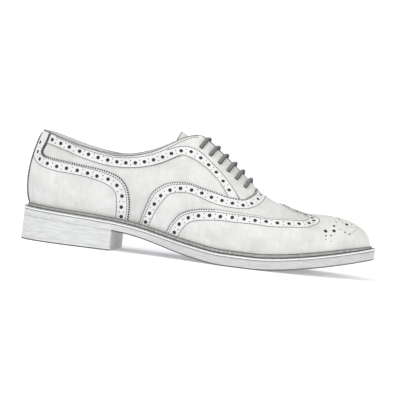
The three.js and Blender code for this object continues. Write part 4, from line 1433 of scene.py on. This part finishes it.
def buildWelt():
    low = -last["weltThick"] - weltShape["under"]
    at = np.linspace(0, 1, int(sideReach / weltShape["pitch"]))
    mark = 0.5 + 0.5 * np.cos(2 * np.pi * at * sideReach / weltShape["notch"])
    start, over = weltShape["clearSpan"]
    clear = (1 + ease((at - start) / over)) * weltShape["clear"] + 0.1
    ribHigh, lip, pale, darkFrom = (
        readTable(weltShape[k], at) for k in ("ribHeight", "lip", "pale", "darkFrom")
    )
    rings = []
    for side in (-1, 1):
        edge, out = outlinePoint(side, at, np.zeros_like(at))
        foot = onLast(side, flat(at, np.zeros_like(at)), clear)[0]
        crown = onLast(side, flat(at, ribHigh / ribLength(at)), clear)[0]
        shoulder = edge - out * (lip + 0.5)[:, None]
        rows = []

        def level(plan, rise):
            point = plan.copy()
            point[:, 2] = weltTop(plan[:, 0]) + rise
            rows.append(point)

        def inset(distance, rise):
            level(edge - out * np.broadcast_to(distance, at.shape)[:, None], rise)

        inset(0.3, low)
        inset(weltShape["reach"], low)
        inset(weltShape["reach"], 0.0)
        level(foot, 0.0)
        level(crown, ribHigh - 0.35)
        level(crown * 0.7 + shoulder * 0.3, ribHigh + 0.02)
        level(crown * 0.25 + shoulder * 0.75, ribHigh - 0.1 - 0.25 * mark)
        inset(lip + 0.34 * mark, ribHigh * 0.76)
        inset(lip - 0.05 + 0.44 * mark, ribHigh * 0.26)
        inset(lip + 0.1, 0.1)
        inset(lip - 0.2, -0.12)
        inset(0.4, -0.12 * mark)
        inset(0.12, -0.1 - 0.12 * mark)
        for rise in (-0.35, -pale, -darkFrom, -darkFrom - weltShape["line"], low):
            inset(0.0, rise)
        rings.append(np.stack(rows, 1))
    loop = np.concatenate([rings[0][:-1], rings[1][::-1][:-1]])
    points, faces = skin(loop, closed=True)
    kinds = [weltShape["finish"][face[0] % loop.shape[1]] for face in faces]
    addPiece("stormWelt", points, [face[::-1] for face in faces],
             [weltEdge, weltRibAndCreaseShade, weltGrooveShade, soleEdge], kinds, crease=50,
             nodes=["welt"])


buildOutsole()
buildHeel()
buildInsole()
buildWelt()


# Tongue: an arch under the facings that rises out of the collar

tongueShape = {
    "thick": 2.2,
    "across": 28,
    "along": 70,
    # at, low, mid, high, side, middle, along
    "sections": [
        (0.745, 0.84, 0.9, 0.95, 2.2, 2.2, 0), (0.715, 0.81, 0.88, 0.94, 2.6, 2.8, 0),
        (0.685, 0.76, 0.83, 0.91, 4.2, 5.2, 0), (0.65, 0.72, 0.79, 0.87, 5.6, 6.6, 0),
        (0.61, 0.7, 0.78, 0.87, 5.8, 7, 0), (0.57, 0.7, 0.78, 0.87, 5.8, 6.8, 0),
        (0.53, 0.71, 0.79, 0.87, 5.8, 6.4, 0), (0.5, 0.73, 0.8, 0.87, 5.8, 5.2, 0),
        (0.475, 0.76, 0.82, 0.88, 5.4, 1.2, -0.6), (0.462, 0.78, 0.84, 0.89, 5.2, -3.2, -1.0),
        (0.437, 0.83, 0.89, 0.93, 4.6, -10.8, 0.9),
    ],
    "ends": (0.4, 0.9),  # mm of ink from the top edge, in two steps
}


# Splines through a row of points, one for each coordinate
def through(knots, points, mark):
    return np.stack([spline(knots, points[:, k])(mark) for k in range(3)], -1)


def buildTongue():
    rows = []
    for at, low, mid, high, sideDepth, middleDepth, along in tongueShape["sections"]:
        sides = [
            [onLast(side, flat(at, up), -sideDepth)[0] for up in (low, mid, high)] for side in (-1, 1)
        ]
        (left, leftOut), (right, rightOut) = (onLast(side, flat(at, 1.0)) for side in (-1, 1))
        middle = (left + right) / 2 - unit(leftOut + rightOut) * middleDepth
        middle[0] += along
        arch = np.array([*sides[0], middle, *sides[1][::-1]])
        steps = np.sqrt(np.linalg.norm(np.diff(arch, axis=0), axis=1))
        knots = np.concatenate([[0], np.cumsum(steps)])
        rows.append(through(knots, arch, np.linspace(0, knots[-1], tongueShape["across"])))
    rows = np.array(rows)
    table = np.arange(len(rows))
    tail = np.linalg.norm(rows[-1] - rows[-2], axis=1).mean()
    ends = len(rows) - 1 - np.array(tongueShape["ends"][::-1] + (0,)) / tail
    fine = np.concatenate([np.linspace(0, ends[0], tongueShape["along"])[:-1], ends])
    grid = np.stack([through(table, rows[:, k], fine) for k in range(tongueShape["across"])], 1)
    forward = np.gradient(grid, axis=0)
    sideways = np.gradient(grid, axis=1)
    down = unit(np.cross(forward, sideways))
    if down[len(grid) // 2, tongueShape["across"] // 2, 2] > 0:
        down = -down
    inner = grid + down * tongueShape["thick"]
    rings = []
    for i in range(len(grid)):
        rim = []
        for k, sign in ((-1, 1), (0, -1)):
            a, b = grid[i, k], inner[i, k]
            outward = unit(np.gradient(grid[i], axis=0)[k]) * sign
            rim.append([a * 0.75 + b * 0.25 + outward * 0.5, a * 0.25 + b * 0.75 + outward * 0.5])
        rings.append(np.concatenate([grid[i], rim[0], inner[i][::-1], rim[1][::-1]]))
    points, faces = skin(rings)
    darkFrom = len(rings) - 3  # the last two rows of faces, and the ends
    kinds = [int(min(face) // len(rings[0]) >= darkFrom) for face in faces[:-2]] + [1, 1]
    addPiece("tongueLeather", points, faces, [tongueLeather, dyedEdge], kinds, crease=60,
             nodes=["tongue"])


buildTongue()


# Lace: six straight bars, with its hidden runs under the facings

laceShape = {
    "radius": 1.7,
    "sides": 16,
    "bend": 2.4,
    "step": 0.9,
    "clear": 0.4,  # under the upper
    "sidestep": 3.6,
    # the lace's painted lit side faces this way
    "outward": (2.5, 8.0),  # mean direction away from the shoe: aside, up
    "weave": {"Scale": 1.9, "Distortion": 0.3},
    "weaveTurns": 4,  # units of weave once round the lace, and mm to a unit along it
    "weavePitch": 2.2,
    "leans": (0.0105, 0.0135, 0.0145, 0.0165, 0.0175, 0.0185),  # how far each bar runs to the toe
}


def laceRoute():
    radius = laceShape["radius"]
    under = layers["base"][1] - laceShape["clear"] - radius
    over = layers["first"][0] + radius + 0.05
    sidestep = laceShape["sidestep"]
    places = collarPanel["eyelets"]

    def spot(side, i, distance, shift=0.0):
        at, up = places[i]
        return onLast(side, flat(at, up + shift / float(ribLength(at))), distance)[0]

    def bar(start, i):
        crest = flat(places[i][0] + laceShape["leans"][i], 0.99)
        return [
            spot(start, i, over), onLast(start, crest, over + 0.15)[0],
            onLast(-start, crest, over + 0.15)[0], spot(-start, i, over),
        ]

    inner, outer = 1, -1
    end = spot(inner, 1, under) * 0.45 + spot(inner, 0, under) * 0.55
    return np.array([
        spot(inner, 0, under - 1.2), *bar(inner, 0),
        spot(outer, 0, under), spot(outer, 1, under, -sidestep), spot(outer, 2, under),
        *bar(outer, 2),
        spot(inner, 2, under), spot(inner, 3, under, -sidestep), spot(inner, 4, under),
        *bar(inner, 4),
        spot(outer, 4, under), spot(outer, 5, under),
        *bar(outer, 5),
        spot(inner, 5, under), spot(inner, 4, under, sidestep), spot(inner, 3, under),
        *bar(inner, 3),
        spot(outer, 3, under), spot(outer, 2, under, sidestep), spot(outer, 1, under),
        *bar(outer, 1),
        spot(inner, 1, under), end,
    ])


def roundedPath(corners, radius, step):
    path = [corners[0]]
    for i in range(1, len(corners) - 1):
        here = corners[i]
        back, on = corners[i - 1] - here, corners[i + 1] - here
        angle = math.pi - math.acos(np.clip(np.dot(unit(back), unit(on)), -1, 1))
        room = 0.49 * min(np.linalg.norm(back), np.linalg.norm(on))
        trim = min(radius * math.tan(angle / 2), room)
        start, end = here + unit(back) * trim, here + unit(on) * trim
        t = np.linspace(0, 1, 9)[:, None]
        path.extend((1 - t) ** 2 * start + 2 * t * (1 - t) * here + t ** 2 * end)
    path.append(corners[-1])
    path = np.array(path)
    travel = travelOf(path)
    mark = np.linspace(0, travel[-1], int(travel[-1] / step) + 1)
    return readLine(path, travel, mark), travel[-1]


# Braided lace: two crossing sets of weave bands, with painted light and shade round the cord: lighter
# on its outward side, dark on its sides and underside
def laceCotton():
    material, tree, shader = newMaterial("laceCotton")
    uv = addNode(tree, "ShaderNodeUVMap", uv_map="weave").outputs["UV"]
    waves = []
    for tilt in (1.0, -1.0):
        inputs = {"Vector": mapped(tree, uv, (1.0, tilt, 1.0)), **laceShape["weave"]}
        wave = addNode(tree, "ShaderNodeTexWave", inputs, wave_type="BANDS", bands_direction="DIAGONAL")
        waves.append(wave.outputs["Fac"])
    weave = mathOf(tree, "MAXIMUM", *waves)
    # Painted light and shade round the cord: the outward side lighter, the sides and underside dark
    around = addNode(tree, "ShaderNodeSeparateXYZ", {0: uv}).outputs["X"]
    turn = mathOf(tree, "MULTIPLY", around, 2 * math.pi / laceShape["weaveTurns"])
    paintedLaceShade = rampOf(tree, mathOf(tree, "COSINE", turn), [(0.5, grey(0.035)), (0.9, grey(0.24))])
    shade = rampOf(tree, weave, [(0.35, grey(0.45)), (0.9, grey(1.0))])
    feed(tree, shader, {
        "Base Color": mixOf(tree, 1.0, paintedLaceShade, shade, "MULTIPLY"),
        "Normal": bumpOf(tree, weave, 0.7, 0.0003),
        "Roughness": 0.75,
        "Sheen Weight": 0.15,
    })
    return material


def buildLace():
    path, length = roundedPath(laceRoute(), laceShape["bend"], laceShape["step"])
    print("lace length", round(float(length), 1), "mm")
    sides, radius = laceShape["sides"], laceShape["radius"]
    ahead = unit(np.gradient(path, axis=0))
    spread, rise = laceShape["outward"]
    aside = (path[:, 1] - swing(path[:, 0])) * spread
    outward = np.stack([0 * aside, aside, np.full(len(path), rise)], -1)
    outward = unit(outward - ahead * (outward * ahead).sum(-1, keepdims=True))
    third = np.cross(ahead, outward)
    rings = tube(path, outward, third, np.full(len(path), radius), sides)
    points, faces = skin(rings)
    piece = addPiece("laceCord", points, [f[::-1] for f in faces], [laceCotton()], crease=80,
                     weld=0, nodes=["lace"])
    mesh = piece.data
    layer = mesh.uv_layers.new(name="weave")
    index = np.empty(len(mesh.loops), np.int32)
    mesh.loops.foreach_get("vertex_index", index)
    ring, corner = index // sides, index % sides
    wrap = np.zeros(len(mesh.loops))
    for polygon in mesh.polygons:
        own = slice(polygon.loop_start, polygon.loop_start + polygon.loop_total)
        if polygon.loop_total == 4 and {0, sides - 1} <= set(corner[own].tolist()):
            wrap[own] = np.where(corner[own] == 0, sides, 0)
    # corner 0 faces outward, where the painted light on the cord is brightest
    uv = np.stack([
        (corner + wrap) / sides * laceShape["weaveTurns"],
        ring * laceShape["step"] / laceShape["weavePitch"],
    ], -1)
    layer.data.foreach_set("uv", uv.astype(np.float32).ravel())


buildLace()


# Topline binding, folded over the collar's edge

bindingShape = {
    "outer": 1.36,
    "inner": -1.95,
    "deep": [(0, 0.9), (0.24, 0.9), (0.31, 2.3), (0.4, 2.3), (0.46, 1.3), (0.5, 1.0)],  # at, mm
    "lines": (0.4, 0.3, 0.55, 0.55),  # shares of that: lower, upper ink; upper's least mm, most
    "inside": [(0, 0.05), (0.24, 0.05), (0.31, 0.9), (0.5, 0.9)],  # ink down the inside, at, mm
    "rise": 0.4,
    "ends": 0.497,  # at
    "stations": 220,
    # finish of each face round the profile: 0 ink, 1 binding, 2 lining
    "finish": [0, 0, 1, 0, 0, 1, 2, 0, 2, 2, 2],
}


def buildBinding():
    outer, inner, rise = (bindingShape[k] for k in ("outer", "inner", "rise"))
    mid = (outer + inner) / 2
    at = np.linspace(0, bindingShape["ends"], bindingShape["stations"])
    rings = []
    for side, places in ((-1, at[::-1]), (1, at[1:])):
        top, normal = onLast(side, flat(places, np.ones_like(places)))
        below, _ = onLast(side, flat(places, 1 - 1.5 / ribLength(places)))
        upward = unit(top - below)
        strip = places * sideReach < heelStrip["half"] + 0.5
        for p, n, u, place, thick in zip(top, normal, upward, places, strip):
            deep = readTable(bindingShape["deep"], place)
            proud = 0.1 if thick else 0.0
            lower, upper, least, most = bindingShape["lines"]
            upper = min(max(upper * deep, least), most * deep)
            inside = readTable(bindingShape["inside"], place)
            profile = [
                (outer - 0.3, -deep), (outer + proud, -deep + 0.1),
                (outer + proud, (lower - 1) * deep), (outer, -upper), (outer - 0.3, rise * 0.7),
                (mid + 0.7, rise), (mid - 0.8, rise), (inner + 0.35, rise * 0.6),
                (inner - 0.02, -inside), (inner, -1.35), (inner + 0.3, -1.5),
            ]
            rings.append([p + n * lift + u * high for lift, high in profile])
    points, faces = skin(rings)
    around = len(rings[0])
    kinds = [bindingShape["finish"][face[0] % around] for face in faces[:-2]] + [0, 0]
    addPiece("toplineBinding", points, faces, [dyedEdge, bindingLeather, liningLeather], kinds,
             crease=60)


buildBinding()


# Stage

stageLook = {
    "floor": 60.0,  # m across
    "horizon": 1.05,  # brightness of the paper all round
    "sky": 0.58,
    "paper": [(0.3, (0.90, 0.915, 0.96)), (0.7, (0.92, 0.935, 0.98))],
    "glow": 0.19,  # the paper's own light, which keeps the far floor white
    "glowColour": (0.95, 0.96, 1, 1),
    "key": {"from": (-0.35, -0.55, 1.0), "spread": 70, "strength": 1.1},
    "fill": {"from": (0.7, -0.6, 0.9), "spread": 80, "strength": 0.8},
}


def addSun(name, setup):
    data = bpy.data.lights.new(name, "SUN")
    data.angle = math.radians(setup["spread"])
    data.energy = setup["strength"]
    light = addObject(name, data)
    light.location = Vector(setup["from"])
    light.rotation_euler = (-Vector(setup["from"])).to_track_quat("-Z", "Y").to_euler()


def buildStage():
    half = stageLook["floor"] / 2
    corners = [(-half, -half, 0), (half, -half, 0), (half, half, 0), (-half, half, 0)]
    mesh = bpy.data.meshes.new("floor")
    mesh.from_pydata(corners, [], [(0, 1, 2, 3)])
    material, tree, shader = newMaterial("floorPaper")
    feed(tree, shader, {
        "Base Color": rampOf(tree, noiseOf(tree, objectPlace(tree), 3.0), stageLook["paper"]),
        "Emission Color": stageLook["glowColour"],
        "Emission Strength": stageLook["glow"],
        "Roughness": 0.9,
        "Specular IOR Level": 0.1,
    })
    mesh.materials.append(material)
    floor = addObject("floor", mesh)
    world = bpy.data.worlds.new("studio")
    world.use_nodes = True
    tree = world.node_tree
    direction = addNode(tree, "ShaderNodeTexCoord").outputs["Generated"]
    height = addNode(tree, "ShaderNodeSeparateXYZ", {0: direction}).outputs["Z"]
    horizon, sky = (grey(stageLook[k]) for k in ("horizon", "sky"))
    feed(tree, tree.nodes["Background"], {"Color": rampOf(tree, height, [(0.06, horizon), (0.4, sky)])})
    bpy.context.scene.world = world
    for name in ("key", "fill"):
        addSun(name, stageLook[name])
    bpy.context.scene.view_settings.view_transform = "Standard"


buildStage()
